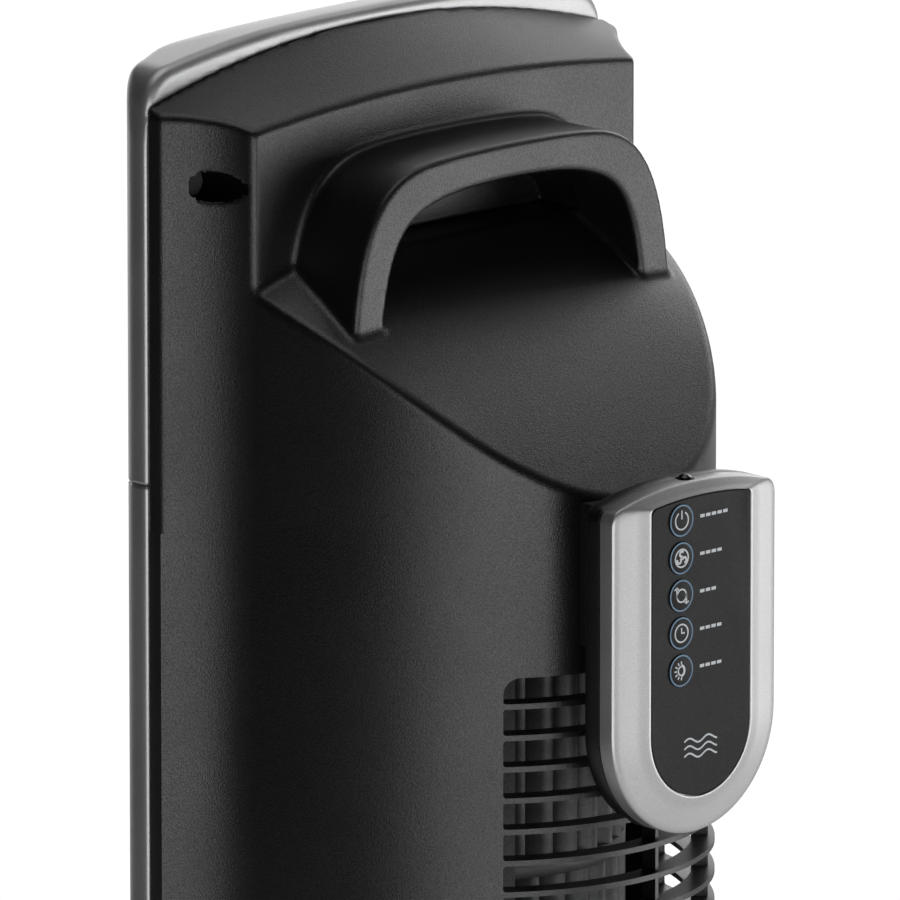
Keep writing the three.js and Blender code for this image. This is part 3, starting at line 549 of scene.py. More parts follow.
def tower_head():
    """The housing's head in one moulding: cap, scoop, handle, finger hollow and screw wells."""
    # Behind the seam the plan is closed well in front of it, where nothing is kept.
    plan_of = distance_to([*rear_plan(), (-SEAM_HALF, SEAM_Y - 30), (SEAM_HALF, SEAM_Y - 30)])
    outer = distance_to(arch_outline(0, FACE_Z - 24))
    inner = distance_to(arch_outline(HANDLE_THICK, FACE_Z - 40))
    fingers = distance_to(arch_outline(12, FACE_Z + 6))
    reach = FACE_Y + HANDLE_REACH
    hollow_floor = FACE_Y - 12
    screw = corner("housing_screw_left", 0)
    screw_x, screw_z = screw.x + SCREW_R, screw.z + SCREW_R
    seat = corner("housing_screw_left", 1).y - 2.5

    def field(x, y, z):
        plan = plan_of(x, y)
        face = y - FACE_Y
        cap = (z - cap_height(x, y)) * 0.9
        slope = -0.55 - 0.00698 * (y - FACE_Y)
        scoop = (z - scoop_height(x, y)) / np.sqrt(1 + slope * slope)
        profile = join(meet(face, cap, 1.5), scoop, 2.0)
        solid = meet(plan, profile, 1.5)
        hood = meet(np.maximum(outer(x, z), -inner(x, z)), y - reach, 1.3)
        hood = np.maximum(hood, FACE_Y - 4 - y)
        solid = join(solid, hood, 1.8)
        pocket = np.maximum(fingers(x, z), np.maximum(hollow_floor - y, y - FACE_Y - 4))
        solid = meet(solid, -pocket, 0.8)
        cavity = np.maximum(plan, np.minimum(np.maximum(face, cap), scoop)) + WALL
        cavity = np.maximum(cavity, WALL - pocket)
        shell = np.maximum(solid, -cavity)
        from_screw = np.hypot(np.abs(x) - screw_x, z - screw_z)
        boss = np.maximum(np.maximum(from_screw - BOSS_R, solid), SEAM_Y + 1 - y)
        shell = np.minimum(shell, boss)
        shell = meet(shell, -np.maximum(from_screw - WELL_R, seat - y), 0.4)
        return meet(shell, SEAM_Y - y, 0.7)

    pitch = 1.03
    xs = np.arange(-SEAM_HALF - 2, SEAM_HALF + 2 + pitch, pitch)
    ys = np.arange(SEAM_Y - 1.3, REAR_R + 2, pitch)
    zs = np.arange(JOIN_Z, FACE_Z + 64, pitch)
    points, faces = close_floor(*surface(field, xs, ys, zs, flat_floor=True))
    head = add("rear_housing_head", points, faces, "black_plastic", "tower",
               ["rear_housing", "carry_handle"], sharp=60)
    # Painted shade: the faces inside the screw wells get the near-black finish, so that the wells
    # look dark in any light.
    head.data.materials.append(PAINTED_WELL_SHADE)
    for face in head.data.polygons:
        x, y, z = face.center / MM
        from_screw = math.hypot(abs(x) - screw_x, z - screw_z)
        if from_screw < WELL_R + 0.2 and seat - 0.5 < y < FACE_Y:
            face.material_index = 1


def along_plan(angles):
    """Points of the rear plan at given angles round the swing axis, and the outward normals."""
    dense = np.array(rear_plan())
    turn = np.degrees(np.arctan2(dense[:, 1], dense[:, 0]))
    turn = np.where(turn < -90, turn + 360, turn)
    points = np.stack([np.interp(angles, turn, dense[:, d]) for d in (0, 1)], 1)
    ahead = np.stack([np.interp(angles + 0.2, turn, dense[:, d]) for d in (0, 1)], 1)
    behind = np.stack([np.interp(angles - 0.2, turn, dense[:, d]) for d in (0, 1)], 1)
    run = ahead - behind
    run /= np.linalg.norm(run, axis=1)[:, None]
    return points, np.stack([run[:, 1], -run[:, 0]], 1)


def sheet_solid(outer, inner, cells):
    """A closed solid from a sheet of index polygons, at outer places and at inner places."""
    count = len(outer)
    edges = dict.fromkeys(pair for cell in cells for pair in zip(cell, cell[1:] + cell[:1]))
    faces = [tuple(cell) for cell in cells]
    faces += [tuple(i + count for i in reversed(cell)) for cell in cells]
    faces += [(a, a + count, b + count, b) for a, b in edges if (b, a) not in edges]
    return np.concatenate([outer, inner]), faces


def corner_web(angle, z, across, up, radius=4.6):
    """The web in a round corner of the intake, from its square corner at an angle and a height."""
    turn = arc(radius, radius, radius, 180, 270, 8)
    spots = np.array([(0.0, 0.0), *turn[::-1]])
    points, normal = along_plan(angle + across * np.degrees(spots[:, 0] / REAR_R))
    heights = z + up * spots[:, 1]
    return loft([[(*(p - n * deep), h) for p, n, h in zip(points, normal, heights)]
                 for deep in (0.02, BAR_DEPTH)])


def tower_body():
    """The housing below its head, with the intake's fine slots and the ribs behind them."""
    nicks = [0, 0.2, 0.65]  # the slots' round corners, cut in two steps
    per_mm = math.degrees(1 / REAR_R)
    seam_turn = math.degrees(math.atan2(SEAM_Y, SEAM_HALF))
    flare_turn = math.degrees(math.atan2(SEAM_Y + BAND, SEAM_HALF))
    side_turn = math.degrees(math.atan2(FACE_Y, FACE_HALF))
    low, high = INTAKE
    side = [*np.linspace(seam_turn, flare_turn, 5), *np.linspace(flare_turn, side_turn, 13)[1:],
            *np.linspace(side_turn, low - 0.9, 24)[1:]]
    first = len(side)
    intake = [low + n * per_mm for n in nicks] + list(np.linspace(low, high, 42)[1:-1])
    intake += [high - n * per_mm for n in reversed(nicks)]
    last = first + len(intake) - 1
    far = [high + 0.9, *np.linspace(high + 3, 180 - side_turn, 4),
           *np.linspace(180 - side_turn, 180 - flare_turn, 13)[1:],
           *np.linspace(180 - flare_turn, 180 - seam_turn, 5)[1:]]
    columns = np.array([*side, *intake, *far])
    rows = [JOIN_Z, JOIN_Z - 12, INTAKE_TOP + 4, INTAKE_TOP + 1]
    slots = []
    for i in range(SLOT_ROWS):
        top = INTAKE_TOP - i * SLOT_PITCH
        slots.append(len(rows))
        rows += [top - n for n in nicks] + [top - SLOT_HIGH + n for n in reversed(nicks)]
    low_edge = rows[-1]
    rows += [low_edge - 1, low_edge - 4, *np.linspace(low_edge - 20, SHELL_Z, 6)]
    rows = np.array(rows)
    wide, tall = len(columns), len(rows)
    flat, normal = along_plan(columns)
    rolled = ((SEAM_HALF - 0.7, SEAM_Y), (SEAM_HALF - 0.2, SEAM_Y + 0.2), (SEAM_HALF, SEAM_Y + 0.7))
    for i, (x, y) in enumerate(rolled):
        flat[i] = (x, y)
        flat[wide - 1 - i] = (-x, y)
    in_intake = (columns >= low - 0.01) & (columns <= high + 0.01)
    beside = (rows <= INTAKE_TOP + 0.01) & (rows >= low_edge - 0.01)
    depth = np.where(beside[:, None] & in_intake[None, :], BAR_DEPTH, WALL)
    height = np.broadcast_to(rows[:, None, None], (tall, wide, 1))
    outer = np.concatenate([np.broadcast_to(flat, (tall, wide, 2)), height], 2)
    inner_flat = flat[None] - normal[None] * depth[..., None]
    inner_flat[:, [0, -1], 1] = SEAM_Y
    inner = np.concatenate([inner_flat, height], 2)
    index = np.arange(tall * wide).reshape(tall, wide)
    open_cells = np.zeros((tall - 1, wide - 1), bool)
    cells = []
    deep = len(nicks) - 1
    for top in slots:
        bottom = top + 2 * deep + 1
        open_cells[top:bottom, first:last] = True
        for (row, down), (column, over) in itertools.product(((top, 1), (bottom, -1)),
                                                             ((first, 1), (last, -1))):
            node = [[int(index[row + down * i, column + over * j]) for j in range(3)]
                    for i in range(3)]
            polygons = [
                [node[0][0], node[1][0], node[1][1], node[0][1]],
                [node[0][1], node[1][1], node[0][2]],
                [node[1][0], node[2][0], node[1][1]],
            ]
            cells += [polygon if down * over > 0 else polygon[::-1] for polygon in polygons]
    for row, column in np.argwhere(~open_cells):
        square = index[row:row + 2, column:column + 2].ravel().tolist()
        cells.append([square[i] for i in (0, 2, 3, 1)])
    points, faces = sheet_solid(outer.reshape(-1, 3), inner.reshape(-1, 3), cells)
    used = sorted({i for face in faces for i in face})
    renumber = {old: new for new, old in enumerate(used)}
    skin = (points[used].tolist(), [tuple(renumber[i] for i in face) for face in faces])
    webs = [corner_web(angle, z, across, up) for angle, across in ((low, 1), (high, -1))
            for z, up in ((INTAKE_TOP, -1), (low_edge, 1))]
    ribs = []
    for angle in RIBS:
        edges, out = along_plan(angle + np.array([-0.5, 0.5]) * RIB_WIDE * per_mm)
        outline = [*(edges - 1.8 * out), *(edges - (BAR_DEPTH + 0.3) * out)[::-1]]
        ribs.append(prism_z([tuple(p) for p in outline], low_edge - 2, INTAKE_TOP + 2))
    add("rear_housing_body", *merged([skin, *webs, *ribs]), "black_plastic", "tower",
        ["rear_housing", "rear_grille"], sharp=40)


# Silver front


def bow_y(x):
    """Where the bowed front stands at x."""
    return FRONT_Y - BOW * (1 - (x / (SEAM_HALF - FRONT_ROUND)) ** 2)


def front_plan(back):
    """The silver front's plan, from the seam round the bowed face."""
    centre = SEAM_HALF - FRONT_ROUND
    turn = math.degrees(math.atan(2 * BOW / centre))
    middle = FRONT_Y + FRONT_ROUND
    left = arc(-centre, middle, FRONT_ROUND, 180, 270 - turn, 14)
    right = arc(centre, middle, FRONT_ROUND, 270 + turn, 360, 14)
    face = [(x, bow_y(x)) for x in np.linspace(1.5 - centre, centre - 1.5, 40)]
    return [(SEAM_HALF, back), (-SEAM_HALF, back), *left, *face, *right]


def front_elevation():
    """Straight sides, round top corners and a shallow arched top."""
    shoulder = (75, FACE_Z + 57.1)
    clear = SEAM_HALF + 8  # below the corners the plan alone sets the width
    half = [(clear, SHELL_Z - 30), (clear, FACE_Z + 20)]
    half += curve([(SEAM_HALF, FACE_Z + 45), (SEAM_HALF, FACE_Z + 51),
                   (80, shoulder[1] - 1.2), shoulder], 12)
    half += curve([shoulder, (52, FACE_Z + 61.6), (26, CREST_Z), (0, CREST_Z)], 30)[1:]
    return mirrored(half)


def front_profile():
    """The front seen from the side: its top curves down to the bowed face."""
    nose = FRONT_Y - BOW
    drop = 24
    turns = np.linspace(0, math.pi / 2, 24)
    back = SEAM_Y - 4
    nosed = [(back + (nose - back) * math.sin(t), CREST_Z - drop + drop * math.cos(t))
             for t in turns]
    clear = nose - 8  # below the curve the plan alone sets the depth
    low = CREST_Z - drop - 30
    return [(SEAM_Y + 30, SHELL_Z - 30), (SEAM_Y + 30, CREST_Z), *nosed,
            (clear, low), (clear, SHELL_Z - 30)]


def silver_front():
    """The control head's bezel and the lower frame: one hollow moulding parted at a level line."""
    plan_of = distance_to(front_plan(SEAM_Y + 25))
    elevation_of = distance_to(front_elevation(), pitch=0.8)
    profile_of = distance_to(front_profile(), pitch=0.8)

    def moulding(window_of, keep):
        def field(x, y, z):
            plan, elevation, profile = plan_of(x, y), elevation_of(x, z), profile_of(y, z)
            back = y - SEAM_Y + GAP
            rolled = meet(elevation, back, 3)
            outside = meet(meet(plan, rolled, 2.2), profile, 2.5)
            over_cap = np.maximum(-back - WALL, cap_height(x, SEAM_Y) - 1.5 - z)
            cavity = np.maximum(np.maximum(plan, elevation), profile) + WALL
            cavity = np.maximum(cavity, -over_cap)
            shell = meet(np.maximum(outside, -cavity), back, 0.6)
            shell = meet(shell, -window_of(x, z), 0.9)
            return meet(shell, keep(z), 0.35)
        return field

    pitch = 1.2
    xs = np.arange(-SEAM_HALF - 2, SEAM_HALF + 2 + pitch, pitch)
    ys = np.arange(FRONT_Y - BOW - 1.7, SEAM_Y + 1, pitch * 0.8)
    edge = SPLIT_Z + GAP / 2
    head = moulding(distance_to(round_box(*HEAD_WINDOW)), lambda z: edge - z)
    zs = np.concatenate([np.arange(edge - 0.5, edge + 1, 0.4),
                         np.arange(edge + 1.5, CREST_Z + 2, pitch)])
    add("control_head_bezel_skin", *surface(head, xs, ys, zs), "silver_paint", "tower",
        ["control_head_bezel"], sharp=60)
    low_edge = SPLIT_Z - GAP / 2

    def between(z):
        return np.maximum(z - low_edge, SHELL_Z - z)

    frame_field = moulding(distance_to(round_box(*LOW_WINDOW), pitch=0.8), between)
    sill, lintel = LOW_WINDOW[1:3]
    zs = np.concatenate([
        np.arange(SHELL_Z - 0.5, SHELL_Z + 2, 0.5), np.arange(SHELL_Z + 4, sill - 2, 5),
        np.arange(sill - 2, sill + 16, 1.2), np.linspace(sill + 18, lintel - 18, 40),
        np.arange(lintel - 16, low_edge - 1.5, 1.2),
        np.arange(low_edge - 1.2, low_edge + 1, 0.4),
    ])
    add("front_frame_skin", *surface(frame_field, xs, ys, zs), "silver_paint", "tower",
        ["front_frame"], sharp=60)


def bowed_bar(half, z0, z1, out, back, count=28):
    """A level bar along the bowed front, with rounded front edges."""
    soft = 0.35
    section = [(back, z0), (out + soft, z0), (out, z0 + soft),
               (out, z1 - soft), (out + soft, z1), (back, z1)]
    rings = [[(x, bow_y(x) + y, z) for y, z in section] for x in np.linspace(-half, half, count)]
    return loft(rings)


def front_grille():
    """Level louvres between a border and three uprights, just inside the frame's window."""
    half, low, high, radius = LOW_WINDOW
    outline = [round_box(half - 0.4 - n, low + GAP + n, high - GAP - n, radius - n, 10)
               for n in (0, 0.4, 3.6, 4)]

    def ring(which, shift):
        return [(x, bow_y(x) + shift, z) for x, z in outline[which]]

    rings = [ring(0, 5.8), ring(0, 1.2), ring(1, 0.8), ring(2, 0.8), ring(3, 1.2), ring(3, 5.8)]
    parts = [loft(rings + rings[:1], closed_ends=False)]
    z = low + 16
    while z < high - 14:
        parts.append(bowed_bar(half - 3.5, z, z + 1.8, 0.8, 5.2))
        z += SLOT_PITCH
    for x in (-31, 0, 31):
        y = bow_y(x)
        parts.append(block(x - 0.9, x + 0.9, y + 1.6, y + 5.6, low + 2, high - 2))
    add("front_grille_louvres", *merged(parts), "black_plastic", "tower", ["front_grille"])


# Control head


def stroke(path, width, depth=0.06, closed=False):
    """A printed line as a thin ribbon in X and Z, standing `depth` proud along -Y from y = 0."""
    points = np.array(path, float)
    if closed:
        run = np.roll(points, -1, 0) - np.roll(points, 1, 0)
    else:
        run = np.gradient(points, axis=0)
    run /= np.linalg.norm(run, axis=1)[:, None]
    side = np.stack([-run[:, 1], run[:, 0]], 1) * width / 2
    rings = []
    for p, s in zip(points, side):
        (ax, az), (bx, bz) = p - s, p + s
        rings.append([(ax, 0, az), (bx, 0, bz), (bx, -depth, bz), (ax, -depth, az)])
    if closed:
        return loft(rings + rings[:1], closed_ends=False)
    return loft(rings)


def icon_power(r, w):
    return [stroke(arc(0, 0, r, 120, 420, 28), w), stroke([(0, 0.15 * r), (0, 1.15 * r)], w)]


def icon_speed(r, w):
    """A ring with three fan blades."""
    parts = [stroke(circle(r), w, closed=True)]
    for turn in (90, 210, 330):
        a = math.radians(turn)
        tip = (0.48 * r * math.cos(a), 0.48 * r * math.sin(a))
        parts.append(stroke(arc(*tip, 0.3 * r, turn - 60, turn + 200, 12), w * 1.5))
    return parts


def icon_swing(r, w):
    """A ring with a turning arrow on each side."""
    parts = [stroke(circle(0.72 * r), w, closed=True)]
    for side in (-1, 1):
        tip = (side * 0.75 * r, -side * r)
        back = side * -0.75 * r
        parts.append(stroke([tip, (side * 0.75 * r, side * 0.2 * r)], w))
        parts.append(stroke([(side * 0.45 * r, back), tip, (side * 1.1 * r, back)], w))
    return parts


def icon_timer(r, w):
    hands = [(0, 0.6 * r), (0, 0), (0.5 * r, 0)]
    return [stroke(circle(r), w, closed=True), stroke(hands, w)]


def icon_night(r, w):
    """Half sun, half moon."""
    parts = [stroke(arc(0, 0, 0.5 * r, 90, 270, 14), w),
             stroke(arc(-0.15 * r, 0, 0.62 * r, 285, 435, 14), w * 1.6)]
    for turn in range(90, 271, 30):
        a = math.radians(turn)
        parts.append(stroke([(k * r * math.cos(a), k * r * math.sin(a)) for k in (0.72, 1.08)], w))
    return parts


ICONS = (icon_power, icon_speed, icon_swing, icon_timer, icon_night)


def faced(solid, x, y, z, toward):
    """A print placed on a face that looks along -Y (toward -1) or +Y (toward +1)."""
    points, faces = solid
    return [(x - toward * a, y - toward * b, z + c) for a, b, c in points], faces


def control_head():
    """Gloss panel with its window, keys with printed icons, smoked lens and lit figures."""
    def strip(half, out, back, z0, z1):
        xs = np.linspace(-half, half, 60)
        outline = [(x, bow_y(x) + out) for x in xs] + [(x, bow_y(x) + back) for x in xs[::-1]]
        return prism_z(outline, z0, z1)

    through = (FRONT_Y - BOW - 5, -30)  # from before the bowed face to behind it
    half, low, high, radius = HEAD_WINDOW
    window = tool(*prism_y(round_box(half - GAP, low + GAP, high - GAP, radius, 12), *through))
    panel = carve(tool(*strip(66, 0.6, 3.6, 970, 1070)), [window], "INTERSECT")
    lens_low, lens_high = LENS_Z
    opening = round_box(LENS_HALF + GAP, lens_low - GAP, lens_high + GAP, 4)
    holes = [tool(*prism_y(opening, *through))]
    holes += [tool(*disc_y(KEY_R + GAP, x, KEY_Z, *through)) for x in KEY_XS]
    panel = edge_round(carve(panel, holes), 0.35, 2)
    dress(panel, "control_panel_face", "gloss_black", "tower", ["control_panel"])
    cutter = tool(*prism_y(round_box(LENS_HALF, lens_low, lens_high, 4), *through))
    lens = carve(tool(*strip(40, 0.6, 2.2, lens_low - 2, lens_high + 2)), [cutter], "INTERSECT")
    dress(lens, "display_lens_face", "dark_lens", "tower", ["display_lens"])
    lit_display()
    cap = [(KEY_R + 1.5, 9), (KEY_R + 1.5, 7.8), (KEY_R, 7.8), (KEY_R, 0.7), (KEY_R - 0.25, 0.2),
           (KEY_R - 0.8, 0), (KEY_R - 1.4, 0.05), (0.01, 0.35), (0.01, 9)]
    for i, x in enumerate(KEY_XS):
        face = bow_y(x) - 1.2
        key = f"panel_key_{i + 1}"
        add(f"control_button_{i + 1}_cap", *laid(lathe(cap, 48), x, face, KEY_Z), "key_grey", key,
            [f"control_button_{i + 1}"])
        prints = merged([faced(part, x, face + 0.3, KEY_Z, -1) for part in ICONS[i](2.9, 0.5)])
        add(f"control_icon_{i + 1}", *prints, None, key, material=PRINT_LIGHT)


def lit_display():
    """Two seven-segment figures, a row of level bars and three dots behind the lens."""
    segments = {"a": ((-1, 2), (1, 2)), "b": ((1, 2), (1, 0)), "c": ((1, 0), (1, -2)),
                "d": ((-1, -2), (1, -2)), "e": ((-1, 0), (-1, -2)), "f": ((-1, 2), (-1, 0)),
                "g": ((-1, 0), (1, 0))}
    middle = sum(LENS_Z) / 2
    size = 3.0
    trim = 0.86  # how much of its side of the figure a segment fills
    parts = []

    def lit(x0, z0, x1, z1, wide):
        ribbon = stroke([(x0, z0), ((x0 + x1) / 2, (z0 + z1) / 2), (x1, z1)], wide)
        parts.append(faced(ribbon, 0, bow_y((x0 + x1) / 2) + 2.9, 0, -1))

    for shown, x in (("abged", -5), ("fgbc", 5)):  # a 2 and a 4
        for name in shown:
            (ax, az), (bx, bz) = segments[name]
            cx, cz = (ax + bx) / 2, (az + bz) / 2
            ends = [(x + size * (cx + trim * (px - cx)), middle + 1 + size * (cz + trim * (pz - cz)))
                    for px, pz in ((ax, az), (bx, bz))]
            lit(*ends[0], *ends[1], 1.0)
    for i in range(5):
        level = middle - 7 + i * 3.2
        lit(17, level, 17 + 1.2 * (i + 1), level, 1.0)
    for i in range(3):
        level = middle - 6 + i * 6
        lit(-20, level, -18.8, level, 1.2)
    add("display_figures", *merged(parts), None, "tower", material=LIT)


# Air path


def impeller():
    """Rings of curved blades between discs, each ring turned by half a blade from the next."""
    blades = 33
    rings = 12
    disc = 4.5
    top_tip = 68.0  # where one blade of the highest ring points, in degrees from +X
    pitch = (FAN_HIGH - disc - FAN_LOW) / rings
    rim = FAN_R - 0.8
    parts = []
    for level in range(rings + 1):
        z = FAN_LOW + level * pitch
        inner = 12 if level in (0, rings) else 31
        profile = [(inner, z), (rim - 0.4, z), (rim, z + 0.4), (rim, z + disc - 0.4),
                   (rim - 0.4, z + disc), (inner, z + disc)]
        parts.append(lathe(profile, 72, 0, FAN_Y))
    chord = np.array(curve([(FAN_R - 0.7, 0), (FAN_R - 4.5, -3.8), (FAN_R - 10.5, -4.2)], 5))
    section = np.concatenate([chord, (chord - (0.2, 1.1))[::-1]])
    for level in range(rings):
        z0, z1 = FAN_LOW + level * pitch + disc - 0.2, FAN_LOW + (level + 1) * pitch + 0.2
        shift = 0.5 * ((rings - 1 - level) % 2)
        for i in range(blades):
            turn = math.radians(top_tip) + 2 * math.pi * (i + shift) / blades
            c, s = math.cos(turn), math.sin(turn)
            loop = [(x * c - y * s, FAN_Y + x * s + y * c) for x, y in section]
            parts.append(prism_z(loop, z0, z1))
    low_hub = [(4.3, -6), (9, -6), (9, 0), (14, 0), (14, 2), (9, 20), (4.3, 20)]
    top_hub = [(0.01, -disc), (13, -disc), (13, -1), (4, 0), (4, 21), (3, 22), (0.01, 22)]
    for hub, foot in ((low_hub, FAN_LOW), (top_hub, FAN_HIGH)):
        parts.append(lathe([(r, foot + z) for r, z in hub], 48, 0, FAN_Y))
    add("impeller_wheel", *merged(parts), "fan_grey", "fan_wheel", ["impeller"], sharp=50)


# Base


def softened(profile, radius=0.8, steps=3):
    """A closed profile with its corners rounded."""
    points = [np.array(p, float) for p in profile]
    made = []
    for before, here, after in zip([points[-1], *points[:-1]], points, [*points[1:], points[0]]):
        into, out = before - here, after - here
        long_in, long_out = np.linalg.norm(into), np.linalg.norm(out)
        reach = min(radius, long_in / 2.2, long_out / 2.2)
        made += curve([here + into / long_in * reach, here, here + out / long_out * reach], steps)
    return made


def base():
    """Dome cover with a stepped skirt, glide ring, turntable, feet and the inlet bush."""
    thick = 3  # of the dome, whose rise is a quarter of a sine wave
    skirt_top = 18

    def sweep(radius, run, foot):
        return [(radius - run * t, foot + (BASE_TOP - skirt_top) * math.sin(t * math.pi / 2))
                for t in np.linspace(0, 1, 20)]

    dome = sweep(146, 74, skirt_top)
    under = sweep(146 - thick, 68, skirt_top - thick)
    rim = softened([(147, 13), (147, 4), (150, 4), (150, 13), (149, 16)], 0.7)
    profile = [(20.5, BASE_TOP - thick), *reversed(under), *rim, *dome, (20.5, BASE_TOP)]
    inlet = tool(*disc_y(4.6, 0, INLET_Z, 130, 155))
    cover = carve(tool(*lathe(profile, 160)), [inlet])
    dress(cover, "base_cover_shell", "black_plastic", "base", ["base_cover"])
    low = BASE_TOP + 2.6
    skirt = softened([(16, 20), (20, 20), (20, 56), (59, 56), (59, low), (62, low), (62, 62),
                      (16, 62)])
    pinion = middle_of("swing_pinion")
    hole = tool(*prism_z(circle(3.3, pinion.x, pinion.y, 24), 50, 70))
    table = carve(tool(*lathe(skirt, 128)), [hole])
    dress(table, "turntable_skirt", "black_plastic", "tower", ["turntable"])
    foot = [(0.01, 3), (9, 3), (9, 0.8), (8.4, 0.15), (7.6, 0), (6.4, 0), (6, 0.5), (2.2, 0.5),
            (1.8, 0), (0.01, 0)]
    for i in range(4):
        node = f"base_foot_{i + 1}"
        middle = middle_of(node)
        add(f"{node}_pad", *lathe(foot, 48, middle.x, middle.y), "rubber", "base", [node])
    bush = softened([(4.3, 138), (4.3, 148.6), (4.1, 149.6), (3.2, 149.6), (2.9, 148.4),
                     (2.9, 138)], 0.3)
    add("cord_bush_ring", *laid(lathe(bush, 40), 0, 0, INLET_Z), "rubber", "base", ["cord_bush"])


# Remote control. Its own frame is X across, Y from its back to its face and Z up from its bottom.


def remote_outline(side, low=None, top=None):
    """Round bottom, straight sides, small top corners and an arched top, inside the remote's edge."""
    low = side if low is None else low
    top = side if top is None else top
    half = REMOTE_WIDE / 2 - side
    crest = REMOTE_TALL - top
    turn = max(1.5, 4 - side / 4)
    fall = 3.2 * (half / (REMOTE_WIDE / 2)) ** 2
    right = [(half, crest - fall - 1.2 * turn), (half, crest - fall - 0.2 * turn),
             (half - turn, crest - fall)]
    outline = arc(0, low + half, half, 180, 360, 48)
    outline += curve(right, 8)
    outline += curve([right[-1], (half / 2, crest), (0, crest)], 10)[1:]
    mirror = [(-x, z) for x, z in right]
    outline += curve([(0, crest), (-half / 2, crest), mirror[-1]], 10)[1:]
    return outline + curve(mirror[::-1], 8)[1:]


def remote_solid(layers):
    """A solid through remote outlines, given as ((side, low, top), y) pairs."""
    return tool(*loft([[(x, REMOTE.y + y, REMOTE.z + z) for x, z in remote_outline(*edges)]
                       for edges, y in layers]))


def remote_control():
    """The remote's front case, label film, rear case, lens, keys and cell cover."""
    rim = np.array([11.7, 10.3, 3.2])
    whole = REMOTE_DEEP
    knee = 11.3

    def part(share):
        """Part of the way from the outer edge to the label."""
        return tuple(rim * share)

    layers = [(part(0.02), 6.6), (part(0), 6.8), (part(0), knee - 0.5), (part(0.008), knee - 0.2),
              (part(0.03), knee + 0.05), (part(0.07), knee + 0.25)]
    layers += [(part(s), knee + 2.55 * s**0.92) for s in (0.2, 0.4, 0.6, 0.8)]
    layers += [(part(0.93), whole - 0.12), (part(0.975), whole - 0.02), (part(0.99), whole - 0.06),
               (part(1), whole - 0.25), (part(1), whole - 1.1)]
    def eye():
        outline = circle(EYE_R, 0, REMOTE.y + EYE_Y, 24)
        return tool(*prism_z(outline, REMOTE.z + 86, REMOTE.z + 100))

    def holes():
        return [tool(*disc_y(PAD_R + 0.35, PAD_X, REMOTE.z + z, REMOTE.y + 9.5, REMOTE.y + 20))
                for z in PAD_ZS]

    shell = remote_solid(layers)
    hollow = remote_solid([((2, 2, 2), 6), ((2, 2, 2), 9.5)])
    shell = carve(shell, [hollow, eye(), *holes()])
    dress(shell, "remote_front_case", "silver_paint", "remote", ["remote_front_shell"], sharp=28)

    thin = tuple(rim + 0.25)
    softer = tuple(rim + 0.45)
    label = carve(remote_solid([(thin, 13.2), (thin, 13.75), (softer, 13.9)]), holes())
    dress(label, "remote_label_film", "label_film", "remote", ["remote_label"])

    rounded = ((2.6, 0), (1.1, 0.35), (0.3, 1.2), (0, 2.4), (0, 5.9), (0.2, 6.3))
    back = remote_solid([((side, side, side), y) for side, y in rounded])
    cell_well = tool(*disc_y(10.3, 0, REMOTE.z + 30, REMOTE.y - 1, REMOTE.y + 5.2))
    cutters = [remote_solid([((2, 2, 2), 4.8), ((2, 2, 2), 8)]), cell_well, eye()]
    rail_x, rail_half = 15.5, 1.8
    for side in (-1, 1):
        for reach, y0, y1 in ((0, -1, 2), (3, 1.5, 3.6)):
            x0, x1 = sorted((side * (rail_x - rail_half), side * (rail_x + rail_half + reach)))
            cutters.append(tool(*block(x0, x1, REMOTE.y + y0, REMOTE.y + y1,
                                       REMOTE.z - 5, REMOTE.z + 88.3)))
    dress(carve(back, cutters), "remote_rear_case", "black_plastic", "remote",
          ["remote_rear_shell"], sharp=28)

    tip = [(2.2 * math.cos(t), 93.4 + 1.8 * math.sin(t)) for t in np.linspace(0.2, 1.5, 8)]
    dome = [(0.01, 88), (2.2, 88), (2.2, 93.4), *tip, (0.01, 95.2)]
    lens = lathe([(r, REMOTE.z + z) for r, z in dome], 40, 0, REMOTE.y + EYE_Y)
    add("infrared_lens_dome", *lens, "dark_lens", "remote", ["infrared_lens"])
    remote_pads()
    cell_cover()


def remote_pads():
    """Round pads with blue rings and light icons, and plain marks on the film beside them."""
    face = REMOTE.y + REMOTE_DEEP + 0.3
    pad = [(0.01, 8.6), (4.8, 8.6), (4.8, 9.2), (PAD_R, 9.2), (PAD_R, 13.9), (PAD_R - 0.12, 14.2),
           (PAD_R - 0.4, 14.3), (0.01, 14.3)]
    for i, z in enumerate(PAD_ZS):
        key = f"remote_key_{i + 1}"
        add(f"remote_pad_{i + 1}", *laid(lathe(pad, 56), PAD_X, REMOTE.y, REMOTE.z + z),
            "label_film", key, [f"remote_button_{i + 1}"])
        band = stroke(circle(PAD_R - 0.42, count=56), 0.42, 0.04, closed=True)
        add(f"remote_ring_{i + 1}", *faced(band, PAD_X, face, REMOTE.z + z, 1), None, key,
            material=PRINT_BLUE)
        icon = merged([faced(p, PAD_X, face, REMOTE.z + z, 1) for p in ICONS[i](2.35, 0.42)])
        add(f"remote_icon_{i + 1}", *icon, None, key, material=PRINT_LIGHT)
    marks = []
    film = REMOTE.y + 13.9
    long = 1.6
    for z, dashes in zip(PAD_ZS, (5, 4, 3, 4, 4)):
        x = PAD_X - 7.2
        for _ in range(dashes):
            line = stroke([(0, 0), (long / 2, 0), (long, 0)], 0.85, 0.04)
            marks.append(faced(line, x, film, REMOTE.z + z, 1))
            x -= long + 0.5
    for i in range(3):
        wave = [(t, 0.7 * math.sin(t * 0.9)) for t in np.linspace(0, 12, 40)]
        marks.append(faced(stroke(wave, 0.45, 0.04), 6, film, REMOTE.z + 25.5 - 2 * i, 1))
    add("remote_marks", *merged(marks), None, "remote", material=PRINT_LIGHT)


